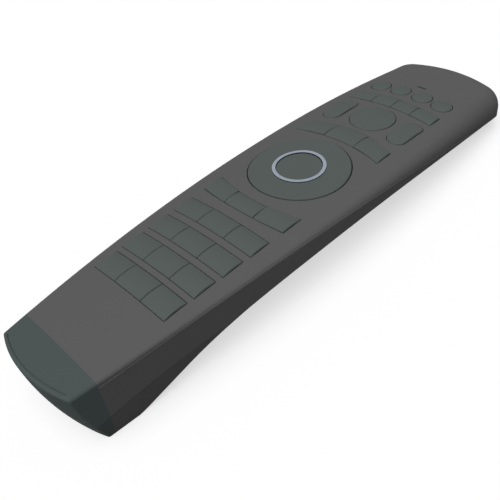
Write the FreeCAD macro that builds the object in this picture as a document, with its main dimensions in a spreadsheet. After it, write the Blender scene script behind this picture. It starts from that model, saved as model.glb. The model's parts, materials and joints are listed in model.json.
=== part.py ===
import FreeCAD, Part
import math
import os
import Sketcher

V = FreeCAD.Vector
X_AXIS = V(1, 0, 0)
Y_AXIS = V(0, 1, 0)
Z_AXIS = V(0, 0, 1)
ORIGIN = V(0, 0, 0)

# Driving dimensions in millimetres and degrees. The drawing frame has its origin on the top face at
# the middle of the round direction pad: x across, y towards the far end, z up.
SIZES = {
    # top face: an arch along the length with a crown across it
    "arch_radius": 1300.0,
    "crown_radius": 160.0,
    # plan outline
    "half_width": 26.8,
    "widest_y": 28.0,
    "near_side_radius": 975.0,
    "far_side_radius": 600.0,
    "tip_y": 95.0,
    "tip_radius": 62.7,
    "tip_corner_radius": 9.6,
    # rounded shoulder between the top face and the side wall
    "shoulder_near": 1.2,
    "shoulder_far": 8.0,
    "shoulder_start_y": -97.0,
    "shoulder_end_y": 80.0,
    "shoulder_power": 2.2,
    # parting line of the two shells, an arc in the side view
    "parting_radius": 630.0,
    "parting_apex_y": -31.0,
    "parting_apex_z": -2.85,
    "parting_chamfer": 0.35,
    # lower edge of the side wall: a long arc, a ramp and the heel of the battery hump
    "wall_edge_radius": 490.0,
    "wall_edge_apex_y": 14.0,
    "wall_edge_apex_z": -8.9,
    "ramp_start_y": -45.0,
    "ramp_blend_radius": 90.0,
    "ramp_angle": 25.0,
    "ramp_run": 13.4,
    "heel_radius": 30.0,
    "belly_radius": 45.0,
    # plane that the remote rests on
    "rest_pitch": 2.7,
    "rest_z": -29.0,
    # flat bevels on both sides of the battery hump
    "bevel_x": 18.7,
    "bevel_y": -96.3,
    "bevel_z": -20.1,
    "bevel_toe": 4.9,
    "bevel_lean": 9.5,
    # walls
    "side_wall": 2.6,
    "top_wall": 1.5,
    "floor_wall": 2.0,
    "rim_lip": 0.4,
    # end cap
    "cap_joint_y": -97.0,
    "cap_lip_y": -108.54,
    "cap_lip_z": -4.6,
    "cap_lip_radius": 47.0,
    "cap_toe_y": -102.78,
    "cap_toe_radius": 41.2,
    "cap_face_bulge": 1.0,
    "cap_wall": 2.0,
    "cap_edge_round": 0.8,
    "cap_groove_inset": 1.2,
    "cap_groove_width": 0.45,
    "cap_groove_depth": 0.3,
    "cap_groove_half": 15.6,
    "cap_clearance": 0.2,
    "nose_length": 4.0,
    "nose_wall": 1.4,
    # keys
    "key_rise": 0.7,
    "key_dome": 0.5,
    "crown_stock": 1.0,
    "key_edge_round": 0.4,
    "key_window_clearance": 0.2,
    "key_split_gap": 0.2,
    "key_travel": 0.5,
    "flange_gap": 0.2,
    "flange_thickness": 0.5,
    "flange_lap": 0.5,
    "stem_radius": 1.5,
    "stem_rest_gap": 0.1,
    # four straight rows of three keys
    "pad_first_y": -68.7,
    "pad_pitch": 10.65,
    "pad_key_length": 8.4,
    "pad_length_step": 0.23,
    "pad_half_width_near": 17.0,
    "pad_half_width_far": 18.1,
    "pad_split_x": 6.3,
    # curved row below the direction pad
    "lower_arc_near_y": -27.0,
    "lower_arc_far_y": -19.0,
    "lower_arc_near_bow": -1.7,
    "lower_arc_far_bow": -3.2,
    "arc_half_width": 18.3,
    "arc_split_x": 6.6,
    # curved row above the direction pad
    "upper_arc_near_y": 18.4,
    "upper_arc_far_y": 25.5,
    "upper_arc_near_bow": 2.0,
    "upper_arc_far_bow": 3.5,
    # round key and the two side keys
    "round_key_y": 39.27,
    "round_key_radius": 8.33,
    "side_key_inner_x": 11.0,
    "side_key_outer_x": 18.3,
    "side_key_near_y": 30.9,
    "side_key_far_y": 45.9,
    "side_key_near_corner": 3.3,
    "side_key_far_corner": 2.2,
    # curved far row of four
    "far_row_near_y": 48.7,
    "far_row_far_y": 54.7,
    "far_row_near_bow": 0.9,
    "far_row_far_bow": 1.9,
    "far_row_half_width": 18.1,
    "far_row_split_x": 8.72,
    # four small round keys
    "dot_radius": 3.9,
    "dot_flange_lap": 0.2,
    "dot_inner_x": 4.84,
    "dot_inner_y": 62.96,
    "dot_outer_x": 13.81,
    "dot_outer_y": 62.44,
    # indicator
    "lens_y": 69.5,
    "lens_length": 3.7,
    "lens_width": 0.8,
    "lens_rise": 0.05,
    # direction pad
    "nav_radius": 17.5,
    "nav_clearance": 0.35,
    "nav_flange_gap": 0.75,
    "ring_outer_radius": 9.2,
    "ring_inner_radius": 8.0,
    "ring_rise": 0.35,
    "ring_depth": 1.5,
    "ring_fit": 0.08,
    "ledge_width": 0.9,
    "ledge_thickness": 0.9,
    "select_clearance": 0.15,
    "plate_radius": 14.0,
    "plate_thickness": 0.6,
    "rocker_foot_radius": 0.8,
    "rocker_foot_offset": 12.5,
    "rocker_gap": 0.05,
    "rocker_tilt_room": 0.4,
    # mat and board
    "mat_top_z": -6.0,
    "mat_thickness": 0.5,
    "mat_half_width": 17.6,
    "mat_near_y": -76.0,
    "mat_far_y": 67.5,
    "board_thickness": 0.8,
    "board_far_y": 84.0,
    "board_near_y": -93.0,
    "board_near_half_width": 15.4,
    # cells and contacts
    "cell_radius": 5.25,
    "cell_length": 44.5,
    "cell_nub_radius": 1.9,
    "cell_nub_length": 0.8,
    "cell_half_pitch": 5.6,
    "cell_front_y": -55.4,
    "cell_tilt": 7.0,
    "cell_board_gap": 0.3,
    "spring_length": 2.0,
    "bay_wall": 1.2,
    "cradle_clearance": 0.15,
    # infrared window and emitters
    "window_half_width": 12.0,
    "window_top_z": -5.5,
    "window_bottom_z": -12.5,
    "emitter_radius": 2.5,
    "emitter_length": 7.2,
    "emitter_x": 6.0,
    "emitter_z": -9.0,
    # screws and posts
    "screw_near_x": 20.2,
    "screw_near_y": -30.0,
    "screw_far_x": 20.9,
    "screw_far_y": 60.0,
    "screw_shank_radius": 0.9,
    "screw_head_radius": 1.8,
    "screw_head_height": 1.3,
    "screw_fit": 0.05,
    "post_radius": 1.8,
    "post_end_z": -8.0,
    "boss_radius": 2.7,
    "boss_roof": 1.6,
    # small internal parts
    "chip_width": 10.0,
    "chip_thickness": 1.2,
    "chip_y": 15.0,
    "contact_thickness": 0.4,
}

doc = FreeCAD.newDocument("ProjectorRemote")
sheet = doc.addObject("Spreadsheet::Sheet", "Sizes")
for row, (alias, value) in enumerate(SIZES.items(), start=1):
    sheet.set("A%d" % row, alias)
    sheet.set("B%d" % row, str(value))
    sheet.setAlias("B%d" % row, alias)
doc.recompute()


def size(alias):
    """The value that the spreadsheet holds for one driving dimension."""
    return float(getattr(sheet, alias))


# Working envelope of the cutting tools, well outside the casing
REACH_X = 2.0 * size("half_width")
NEAR_Y = size("cap_lip_y") - size("half_width")
FAR_Y = size("tip_y") + size("half_width")
SKY_Z = size("half_width")
DEEP_Z = size("rest_z") - size("half_width")

# Sections in a plain stretch and in a curved one, and on the cap's face
PLAIN_STEPS = 3
CURVED_STEPS = 8
HUMP_STEPS = 12
FACE_STEPS = 6

# Distance within which a point counts as lying on a surface
TOUCH = 0.001


def box(x0, x1, y0, y1, z0, z1):
    return Part.makeBox(x1 - x0, y1 - y0, z1 - z0, V(x0, y0, z0))


def spaced(start, end, steps):
    """Evenly spaced values from start to end, both among them."""
    return [start + (end - start) * step / steps for step in range(steps + 1)]


def sag(radius, offset):
    """Drop of a circle of this radius at this distance from its highest point."""
    return radius - math.sqrt(radius ** 2 - offset ** 2)


def arch_z(y):
    return -sag(size("arch_radius"), y)


def line(a, b):
    return Part.LineSegment(a, b).toShape()


def arc(a, middle, b):
    return Part.Arc(a, middle, b).toShape()


def mirrored(shape):
    return shape.mirror(ORIGIN, X_AXIS)


# Plan outline and outer form

def half_width_at(y, inset=0.0):
    """Half width of the casing in plan, without the rounded tip, moved in square to its side."""
    side = "near_side_radius" if y < size("widest_y") else "far_side_radius"
    return size("half_width") - inset - sag(size(side) - inset, y - size("widest_y"))


def arc_about(centre, radius, start, end):
    points = [centre + V(radius * math.cos(a), radius * math.sin(a), 0)
              for a in (start, (start + end) / 2, end)]
    return arc(*points)


def plan_outline(inset, near_y):
    """Plan outline of the casing from near_y to the tip, moved in by inset, as a closed wire."""
    near_radius = size("near_side_radius") - inset
    side_radius = size("far_side_radius") - inset
    end_radius = size("tip_radius") - inset
    corner = size("tip_corner_radius") - inset
    widest_y = size("widest_y")
    near_centre = V(size("half_width") - size("near_side_radius"), widest_y, 0)
    side_centre = V(size("half_width") - size("far_side_radius"), widest_y, 0)
    end_centre = V(0, size("tip_y") - size("tip_radius"), 0)
    apart = end_centre - side_centre
    along = ((side_radius - corner) ** 2 - (end_radius - corner) ** 2 + apart.Length ** 2)
    along /= 2 * apart.Length
    across = math.sqrt((side_radius - corner) ** 2 - along ** 2)
    unit = V(apart).normalize()
    corner_centre = side_centre + unit * along + V(-unit.y, unit.x, 0) * across
    to_side = corner_centre - side_centre
    to_end = corner_centre - end_centre
    side_angle = math.atan2(to_side.y, to_side.x)
    end_angle = math.atan2(to_end.y, to_end.x)
    start = math.asin(max(near_y - widest_y, 0) / side_radius)
    right = [arc_about(side_centre, side_radius, start, side_angle),
             arc_about(corner_centre, corner, side_angle, end_angle)]
    if near_y < widest_y:
        back = math.asin((near_y - widest_y) / near_radius)
        right.insert(0, arc_about(near_centre, near_radius, back, 0))
    end = arc_about(end_centre, end_radius, end_angle, math.pi - end_angle)
    foot = right[0].Vertexes[0].Point
    base = line(V(-foot.x, foot.y, 0), foot)
    left = [mirrored(edge) for edge in right]
    return Part.Wire(Part.__sortEdges__([base, end] + right + left))


def shoulder_blend():
    """Length of plain wall kept before the shoulder section, so that the tip's fillet runs past it."""
    return 2.0 * size("shoulder_far")


def crowned_slab(drop, rise=0.0):
    """Everything under the arched and crowned top face, lowered by drop."""
    crown = size("crown_radius")
    low = DEEP_Z - SKY_Z
    edge = rise - drop - sag(crown, REACH_X)
    top = arc(V(-REACH_X, 0, edge), V(0, 0, rise - drop), V(REACH_X, 0, edge))
    sides = [line(V(REACH_X, 0, edge), V(REACH_X, 0, low)),
             line(V(REACH_X, 0, low), V(-REACH_X, 0, low)),
             line(V(-REACH_X, 0, low), V(-REACH_X, 0, edge))]
    face = Part.Face(Part.Wire([top] + sides))
    axis = V(0, 0, -size("arch_radius"))
    swing = math.degrees(math.asin((max(-NEAR_Y, FAR_Y) + REACH_X) / size("arch_radius")))
    face.rotate(axis, X_AXIS, -swing)
    return face.revolve(axis, X_AXIS, 2 * swing)


def shoulder_radius(y, near, far):
    start = size("shoulder_start_y")
    if y <= start:
        return near
    share = (y - start) / (size("shoulder_end_y") - start)
    return near + (far - near) * share ** size("shoulder_power")


def section(y, inset, drop, near, far):
    """Closed cross section at y: crowned top, rounded shoulders, straight walls, flat underside."""
    crown = size("crown_radius")
    wall = half_width_at(y, inset)
    radius = shoulder_radius(y, near, far)
    top = math.sqrt((size("arch_radius") - drop) ** 2 - y ** 2) - size("arch_radius")
    crown_z = top - crown
    cx = wall - radius
    cz = crown_z + math.sqrt((crown - radius) ** 2 - cx ** 2)
    lean = math.atan2(cx, cz - crown_z)
    touch = V(crown * math.sin(lean), y, crown_z + crown * math.cos(lean))
    half_turn = math.atan2(touch.z - cz, touch.x - cx) / 2
    middle = V(cx + radius * math.cos(half_turn), y, cz + radius * math.sin(half_turn))

    def other(point):
        return V(-point.x, point.y, point.z)

    foot = V(wall, y, DEEP_Z)
    wall_top = V(wall, y, cz)
    return Part.Wire([
        line(other(foot), foot),
        line(foot, wall_top),
        arc(wall_top, middle, touch),
        arc(touch, V(0, y, top), other(touch)),
        arc(other(touch), other(middle), other(wall_top)),
        line(other(wall_top), other(foot))])


def top_edges(shape, y_from):
    """Edges round the top face of a block, apart from the one on its near end."""
    found = []
    for edge in shape.Edges:
        middle = edge.valueAt((edge.FirstParameter + edge.LastParameter) / 2)
        low = min(vertex.Point.z for vertex in edge.Vertexes)
        if low > DEEP_Z / 2 and middle.y > y_from:
            found.append(edge)
    return found


def casing_block(inset, drop, near, far):
    """Block with the casing's plan, top face and shoulders, moved in by inset and down by drop."""
    y_end = size("shoulder_end_y")
    y_tip = y_end - shoulder_blend()
    base = Part.Face(plan_outline(inset, y_tip))
    base.translate(V(0, 0, DEEP_Z))
    tip = base.extrude(V(0, 0, SKY_Z - DEEP_Z)).common(crowned_slab(drop))
    tip = tip.makeFillet(far, top_edges(tip, y_tip + TOUCH))
    tip = tip.common(box(-REACH_X, REACH_X, y_end, FAR_Y, DEEP_Z, SKY_Z))
    start = size("shoulder_start_y")
    y_near = size("cap_lip_y") - size("cap_wall")
    stations = spaced(y_near, start, PLAIN_STEPS)[:-1] + spaced(start, y_end, CURVED_STEPS)[:-1]
    joint = min(tip.Faces, key=lambda face: face.CenterOfMass.y)
    wires = [section(y, inset, drop, near, far) for y in stations] + [joint.OuterWire]
    return Part.makeLoft(wires, True, False).fuse(tip)


# Underside

def wall_edge_z(y):
    """Height of the side wall's lower edge."""
    long_radius = size("wall_edge_radius")
    apex_y = size("wall_edge_apex_y")
    start = size("ramp_start_y")
    if y >= start:
        return size("wall_edge_apex_z") - sag(long_radius, y - apex_y)
    z = size("wall_edge_apex_z") - sag(long_radius, start - apex_y)
    slope = math.asin((apex_y - start) / long_radius)
    ramp = math.radians(size("ramp_angle"))
    rest = math.radians(size("rest_pitch"))
    blend = size("ramp_blend_radius")
    blend_y = start - blend * (math.sin(ramp) - math.sin(slope))
    if y >= blend_y:
        angle = math.asin(math.sin(slope) + (start - y) / blend)
        return z - blend * (math.cos(slope) - math.cos(angle))
    z -= blend * (math.cos(slope) - math.cos(ramp))
    ramp_y = blend_y - size("ramp_run")
    if y >= ramp_y:
        return z - (blend_y - y) * math.tan(ramp)
    z -= size("ramp_run") * math.tan(ramp)
    heel = size("heel_radius")
    heel_y = ramp_y - heel * (math.sin(ramp) - math.sin(rest))
    if y >= heel_y:
        angle = math.asin(math.sin(ramp) - (ramp_y - y) / heel)
        return z - heel * (math.cos(angle) - math.cos(ramp))
    z -= heel * (math.cos(rest) - math.cos(ramp))
    return z - (heel_y - y) * math.tan(rest)


def belly_stations():
    """Places along the length where the underside is sectioned, closer together on the hump."""
    start = size("ramp_start_y")
    hump = spaced(size("cap_lip_y"), start, HUMP_STEPS)
    return [NEAR_Y] + hump[:-1] + spaced(start, FAR_Y, CURVED_STEPS)


def above_belly(raise_by):
    """Everything above the crowned underside, raised by raise_by."""
    radius = size("belly_radius")
    reach = (size("half_width") + radius) / 2
    wires = []
    for y in belly_stations():
        half = half_width_at(y)
        centre = wall_edge_z(y) - sag(radius, half) + raise_by
        rim = centre + sag(radius, reach)
        wires.append(Part.Wire([
            arc(V(-reach, y, rim), V(0, y, centre), V(reach, y, rim)),
            line(V(reach, y, rim), V(reach, y, SKY_Z)),
            line(V(reach, y, SKY_Z), V(-reach, y, SKY_Z)),
            line(V(-reach, y, SKY_Z), V(-reach, y, rim))]))
    return Part.makeLoft(wires, True, False)


def above_rest(raise_by):
    """Everything above the plane that the remote rests on, raised by raise_by."""
    pivot = V(0, size("cap_joint_y"), size("rest_z") + raise_by)
    block = box(-REACH_X, REACH_X, NEAR_Y - REACH_X, FAR_Y + REACH_X, pivot.z, pivot.z - DEEP_Z)
    block.rotate(pivot, X_AXIS, size("rest_pitch"))
    return block


def bevel_cutters(inset):
    """The two slabs that cut the hump's flat bevels, moved inwards by inset."""
    side = box(0, REACH_X, NEAR_Y, FAR_Y, DEEP_Z, SKY_Z)
    pivot = V(size("bevel_x"), size("bevel_y"), size("bevel_z"))
    side.translate(V(pivot.x - inset, 0, 0))
    side.rotate(pivot, Y_AXIS, size("bevel_lean"))
    side.rotate(pivot, Z_AXIS, -size("bevel_toe"))
    return [side, mirrored(side)]


def cap_front(shift):
    """Everything in front of the raked, bowed and bulging face of the end cap, moved back by shift."""
    lip_y, lip_z = size("cap_lip_y"), size("cap_lip_z")
    half, far = size("half_width"), NEAR_Y - REACH_X
    margin = 1.0 / FACE_STEPS
    wires = []
    for share in spaced(-margin, 1.0 + margin, FACE_STEPS + 2):
        z = lip_z + (size("rest_z") - lip_z) * share
        radius = size("cap_lip_radius") + (size("cap_toe_radius") - size("cap_lip_radius")) * share
        bulge = 4 * size("cap_face_bulge") * share * (1 - share)
        apex = lip_y + (size("cap_toe_y") - lip_y) * share - bulge + shift
        side = apex + sag(max(radius, half), half)
        wires.append(Part.Wire([
            arc(V(-half, side, z), V(0, apex, z), V(half, side, z)),
            line(V(half, side, z), V(half, far, z)),
            line(V(half, far, z), V(-half, far, z)),
            line(V(-half, far, z), V(-half, side, z))]))
    return Part.makeLoft(wires, True, False)


def below_parting():
    """Everything under the shells' parting surface."""
    radius = size("parting_radius")
    apex_y = size("parting_apex_y")
    apex_z = size("parting_apex_z")
    near = V(-REACH_X, NEAR_Y, apex_z - sag(radius, NEAR_Y - apex_y))
    far = V(-REACH_X, FAR_Y, apex_z - sag(radius, FAR_Y - apex_y))
    curve = arc(near, V(-REACH_X, apex_y, apex_z), far)
    deep = [line(far, V(-REACH_X, FAR_Y, DEEP_Z)),
            line(V(-REACH_X, FAR_Y, DEEP_Z), V(-REACH_X, NEAR_Y, DEEP_Z)),
            line(V(-REACH_X, NEAR_Y, DEEP_Z), near)]
    return Part.Face(Part.Wire([curve] + deep)).extrude(V(2 * REACH_X, 0, 0))


def trimmed(block, raise_by, inset):
    """A casing block cut by the underside, the resting plane and the bevels."""
    block = block.common(above_rest(raise_by)).cut(bevel_cutters(inset))
    return block.common(above_belly(raise_by))


# Frames on the top face

def row_frame(y):
    """Frame on the top face at y on the centre line, with z along the arch's normal."""
    lean = math.asin(y / size("arch_radius"))
    return FreeCAD.Placement(V(0, y, arch_z(y)), FreeCAD.Rotation(X_AXIS, -math.degrees(lean)))


def face_frame(x, y):
    """Frame on the top face at any point, with z along the face's normal."""
    lean = math.asin(x / size("crown_radius"))
    side = FreeCAD.Placement(V(x, 0, -sag(size("crown_radius"), x)),
                             FreeCAD.Rotation(Y_AXIS, math.degrees(lean)))
    return row_frame(y).multiply(side)


def placed(shape, frame):
    moved = shape.copy()
    moved.Placement = frame.multiply(moved.Placement)
    return moved


def bowed_y(corner_y, bow, half, x):
    """Height in plan of a row's edge at x: an arc that bows by this much at its middle."""
    if bow == 0:
        return corner_y
    radius = (half ** 2 + bow ** 2) / (2 * abs(bow))
    return corner_y + bow - math.copysign(sag(radius, x), bow)


class KeyRow:
    """A row of keys in one window: its edges in plan and the places where it is split."""

    def __init__(self, labels, near, far, half_near, half_far, splits, near_bow=0.0, far_bow=0.0):
        self.labels = labels
        self.near, self.far = near, far
        self.half_near, self.half_far = half_near, half_far
        self.near_bow, self.far_bow = near_bow, far_bow
        self.splits = splits
        self.middle = (near + far) / 2

    def corner(self, x, at_near, grow):
        """Corner at an inner x, or at the row's own slanted end where x is None or infinite."""
        half = self.half_near if at_near else self.half_far
        corner_y, bow = (self.near, self.near_bow) if at_near else (self.far, self.far_bow)
        if math.isinf(x):
            x = math.copysign(half, x)
            y = corner_y
            x += math.copysign(grow, x)
        else:
            y = bowed_y(corner_y, bow, half, x)
        y += -grow if at_near else grow
        return V(x, y - self.middle, 0)

    def outline(self, x0, x1, grow=0.0):
        """Edges of the key, or with infinite ends of the whole row, in the row's own frame."""
        points = {}
        for at_near in (True, False):
            a = self.corner(x0, at_near, grow)
            b = self.corner(x1, at_near, grow)
            half = self.half_near if at_near else self.half_far
            corner_y, bow = (self.near, self.near_bow) if at_near else (self.far, self.far_bow)
            x = (a.x + b.x) / 2
            y = bowed_y(corner_y, bow, half, x) - self.middle + (-grow if at_near else grow)
            points[at_near] = (a, V(x, y, 0), b)
        curves = [self.edge(points[True], self.near_bow),
                  Part.LineSegment(points[True][2], points[False][2]),
                  self.edge(points[False][::-1], self.far_bow),
                  Part.LineSegment(points[False][0], points[True][0])]
        return curves

    @staticmethod
    def edge(points, bow):
        if bow == 0:
            return Part.LineSegment(points[0], points[2])
        return Part.Arc(*points)

    def spans(self):
        """Each key's label with the x of its two sides."""
        gap = size("key_split_gap") / 2
        ends = [-math.inf] + list(self.splits) + [math.inf]
        for label, x0, x1 in zip(self.labels, ends, ends[1:]):
            yield label, x0 + gap, x1 - gap


def key_rows():
    rows = []
    first = size("pad_first_y")
    end = first + 3 * size("pad_pitch")
    near_half, far_half = size("pad_half_width_near"), size("pad_half_width_far")
    split = size("pad_split_x")
    for number in range(4):
        middle = first + number * size("pad_pitch")
        length = size("pad_key_length") - number * size("pad_length_step")
        half = near_half + (far_half - near_half) * (middle - first) / (end - first)
        labels = ["key_row%d_%s" % (4 - number, side) for side in ("left", "middle", "right")]
        rows.append(KeyRow(labels, middle - length / 2, middle + length / 2, half, half,
                           (-split, split)))
    for name in ("lower_arc", "upper_arc"):
        half, split = size("arc_half_width"), size("arc_split_x")
        labels = ["%s_key_%s" % (name, side) for side in ("left", "middle", "right")]
        rows.append(KeyRow(labels, size(name + "_near_y"), size(name + "_far_y"), half, half,
                           (-split, split), size(name + "_near_bow"), size(name + "_far_bow")))
    half, split = size("far_row_half_width"), size("far_row_split_x")
    labels = ["far_row_key_%d" % number for number in (1, 2, 3, 4)]
    rows.append(KeyRow(labels, size("far_row_near_y"), size("far_row_far_y"), half, half,
                       (-split, 0.0, split), size("far_row_near_bow"), size("far_row_far_bow")))
    return rows


def side_key_outline(side, grow=0.0):
    """Long rounded key beside the round key, in the frame of its own row."""
    x0, x1 = size("side_key_inner_x") - grow, size("side_key_outer_x") + grow
    middle = side_key_middle()
    y0, y1 = size("side_key_near_y") - grow - middle, size("side_key_far_y") + grow - middle
    near, far = size("side_key_near_corner") + grow, size("side_key_far_corner") + grow
    corners = [(x0, y0, 1, 1, near), (x1, y0, -1, 1, near), (x1, y1, -1, -1, far), (x0, y1, 1, -1, far)]
    turns = []
    for x, y, dx, dy, radius in corners:
        centre = V(x + dx * radius, y + dy * radius, 0)
        across, along = V(x, centre.y, 0), V(centre.x, y, 0)
        outermost = centre - V(dx, dy, 0).normalize() * radius
        turn = (across, outermost, along) if dx * dy > 0 else (along, outermost, across)
        turns.append([V(side * point.x, point.y, 0) for point in turn])
    curves = []
    for turn, following in zip(turns, turns[1:] + turns[:1]):
        curves.append(Part.Arc(*turn))
        curves.append(Part.LineSegment(turn[2], following[0]))
    return curves


def side_key_middle():
    return (size("side_key_near_y") + size("side_key_far_y")) / 2


def window_prism(curves, frame):
    """Through cut in the top wall with this outline."""
    wire = Part.Wire(Part.__sortEdges__([curve.toShape() for curve in curves]))
    depth = -size("mat_top_z")
    face = Part.Face(wire)
    face.translate(V(0, 0, -depth))
    return placed(face.extrude(V(0, 0, 2 * depth)), frame)


def round_prism(radius, frame):
    depth = -size("mat_top_z")
    return placed(Part.makeCylinder(radius, 2 * depth, V(0, 0, -depth)), frame)


# Parts of the parametric document

PIECES = []


def keep(label, piece, frame=None):
    """Names a finished sub-part and notes its place in the drawing frame."""
    piece.Label = label
    PIECES.append((piece, frame or FreeCAD.Placement()))
    return piece


def feature(label, shape, frame=None):
    piece = doc.addObject("Part::Feature", label)
    piece.Shape = shape
    return keep(label, piece, frame)


def new_body(label):
    return doc.addObject("PartDesign::Body", label)


def sketch_in(body, name, role, curves, height=None):
    """Sketch on one of the body's own planes, lifted by an expression for its height."""
    sketch = body.newObject("Sketcher::SketchObject", "%s_%s" % (body.Name, name))
    plane = [item for item in body.Origin.OriginFeatures if item.Role == role][0]
    sketch.AttachmentSupport = [(plane, "")]
    sketch.MapMode = "FlatFace"
    if height:
        sketch.setExpression("AttachmentOffset.Base.z", height)
    sketch.addGeometry(curves, False)
    return sketch


def circle_in(body, name, radius, height, x="0", y="0"):
    """Sketch of one circle whose radius and centre are bound to expressions."""
    circle = Part.Circle(V(1, 1, 0), Z_AXIS, 1.0)
    sketch = sketch_in(body, name, "XY_Plane", [circle], height)
    for kind, expression in (("Radius", radius), ("DistanceX", x), ("DistanceY", y)):
        if kind == "Radius":
            index = sketch.addConstraint(Sketcher.Constraint(kind, 0, 1.0))
        elif expression == "0":
            on_axis = -2 if kind == "DistanceX" else -1
            sketch.addConstraint(Sketcher.Constraint("PointOnObject", 0, 3, on_axis))
            continue
        else:
            index = sketch.addConstraint(Sketcher.Constraint(kind, -1, 1, 0, 3, 1.0))
        sketch.setExpression("Constraints[%d]" % index, expression)
    return sketch


def pad(body, sketch, name, length):
    solid = body.newObject("PartDesign::Pad", "%s_%s" % (body.Name, name))
    solid.Profile = sketch
    solid.setExpression("Length", length)
    return solid


def pocket(body, sketch, name, length):
    """Cut from the sketch downwards."""
    cut = body.newObject("PartDesign::Pocket", "%s_%s" % (body.Name, name))
    cut.Profile = sketch
    cut.setExpression("Length", length)
    return cut


def disc(body, name, radius, bottom, length, x="0", y="0"):
    return pad(body, circle_in(body, name + "_circle", radius, bottom, x, y), name, length)


def bore(body, name, radius, top, length):
    return pocket(body, circle_in(body, name + "_circle", radius, top), name, length)


# The profile that crowns a key's top: its length over the key's, and its sweep in degrees
GROOVE_OVERRUN = 1.5
GROOVE_SWEEP = 30.0


def crown_groove(body, name, half_length, rise, dome, middle=0.0):
    """Cuts the top to the casing's crown, domed along the length by this much."""
    reach = GROOVE_OVERRUN * half_length
    low = rise - dome * GROOVE_OVERRUN ** 2
    roof = rise - size("mat_top_z")
    near, far = middle - reach, middle + reach
    if dome > 0:
        top = Part.Arc(V(near, low, 0), V(middle, rise, 0), V(far, low, 0))
    else:
        top = Part.LineSegment(V(near, rise, 0), V(far, rise, 0))
    curves = [top, Part.LineSegment(V(far, low, 0), V(far, roof, 0)),
              Part.LineSegment(V(far, roof, 0), V(near, roof, 0)),
              Part.LineSegment(V(near, roof, 0), V(near, low, 0))]
    sketch = sketch_in(body, name + "_profile", "YZ_Plane", curves)
    crown = size("crown_radius")
    sketch.addGeometry([Part.LineSegment(V(near, -crown, 0), V(far, -crown, 0))], True)
    groove = body.newObject("PartDesign::Groove", "%s_%s" % (body.Name, name))
    groove.Profile = sketch
    groove.ReferenceAxis = (sketch, ["Axis0"])
    groove.Midplane = True
    groove.Angle = GROOVE_SWEEP
    return groove


def round_rim(body, above, radius):
    """Rounds every edge of the body that lies wholly above this height."""
    doc.recompute()
    base = body.Tip
    names = []
    for index, edge in enumerate(base.Shape.Edges, start=1):
        if min(vertex.Point.z for vertex in edge.Vertexes) > above:
            names.append("Edge%d" % index)
    fillet = body.newObject("PartDesign::Fillet", body.Name + "_rim")
    fillet.Base = (base, names)
    fillet.setExpression("Radius", radius)
    return fillet


# Keys

def key_body(label, curves, frame, x_range, y_range, stem_x, dome):
    """One key: domed cap through its window, flange under the top wall, stem down to the mat."""
    body = new_body(label)
    outer_x = max(abs(x) for x in x_range)
    under_wall = sag(size("crown_radius"), outer_x) + size("top_wall") + size("flange_gap")
    half_length = (y_range[1] - y_range[0]) / 2
    outline = sketch_in(body, "outline", "XY_Plane", curves, "%f" % -under_wall)
    pad(body, outline, "cap", "%f + Sizes.key_rise + Sizes.crown_stock" % under_wall)
    crown_groove(body, "crown", half_length, size("key_rise"), dome, sum(y_range) / 2)
    round_rim(body, size("top_wall") / 2 - under_wall, "Sizes.key_edge_round")
    lap = size("key_window_clearance") + size("flange_lap")
    corners = [V(x_range[0], y_range[0] - lap, 0), V(x_range[1], y_range[0] - lap, 0),
               V(x_range[1], y_range[1] + lap, 0), V(x_range[0], y_range[1] + lap, 0)]
    flange = [Part.LineSegment(a, b) for a, b in zip(corners, corners[1:] + corners[:1])]
    bottom = under_wall + size("flange_thickness")
    sheet_z = "%f - Sizes.flange_thickness" % -under_wall
    pad(body, sketch_in(body, "flange_outline", "XY_Plane", flange, sheet_z), "flange",
        "Sizes.flange_thickness")
    stem_end = stem_end_in(frame)
    disc(body, "stem", "Sizes.stem_radius", "%f" % stem_end, "%f" % (-bottom - stem_end),
         "%f" % stem_x, "%f" % (sum(y_range) / 2))
    return keep(label, body, frame)


def stem_end_in(frame):
    """Height in a key's frame where its stem ends, a travel and a small gap above the mat."""
    normal = frame.Rotation.multVec(Z_AXIS)
    lean = math.sqrt(1 - normal.z ** 2)
    end = size("mat_top_z") + size("key_travel") + size("stem_rest_gap")
    return (end - frame.Base.z) / normal.z + size("stem_radius") * lean


def row_keys(row):
    frame = row_frame(row.middle)
    for label, x0, x1 in row.spans():
        curves = row.outline(x0, x1)
        ends = [vertex for curve in curves for vertex in (curve.StartPoint, curve.EndPoint)]
        middles = [curve.value((curve.FirstParameter + curve.LastParameter) / 2) for curve in curves]
        xs = [point.x for point in ends]
        ys = [point.y for point in ends + middles]
        stem_x = (min(xs) + max(xs)) / 2
        key_body(label, curves, frame, (min(xs), max(xs)), (min(ys), max(ys)), stem_x,
                 size("key_dome"))


def side_keys():
    frame = row_frame(side_key_middle())
    half = (size("side_key_far_y") - size("side_key_near_y")) / 2
    for side, label in ((-1, "side_key_left"), (1, "side_key_right")):
        xs = sorted((side * size("side_key_inner_x"), side * size("side_key_outer_x")))
        key_body(label, side_key_outline(side), frame, xs, (-half, half), sum(xs) / 2,
                 size("key_dome"))


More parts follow.
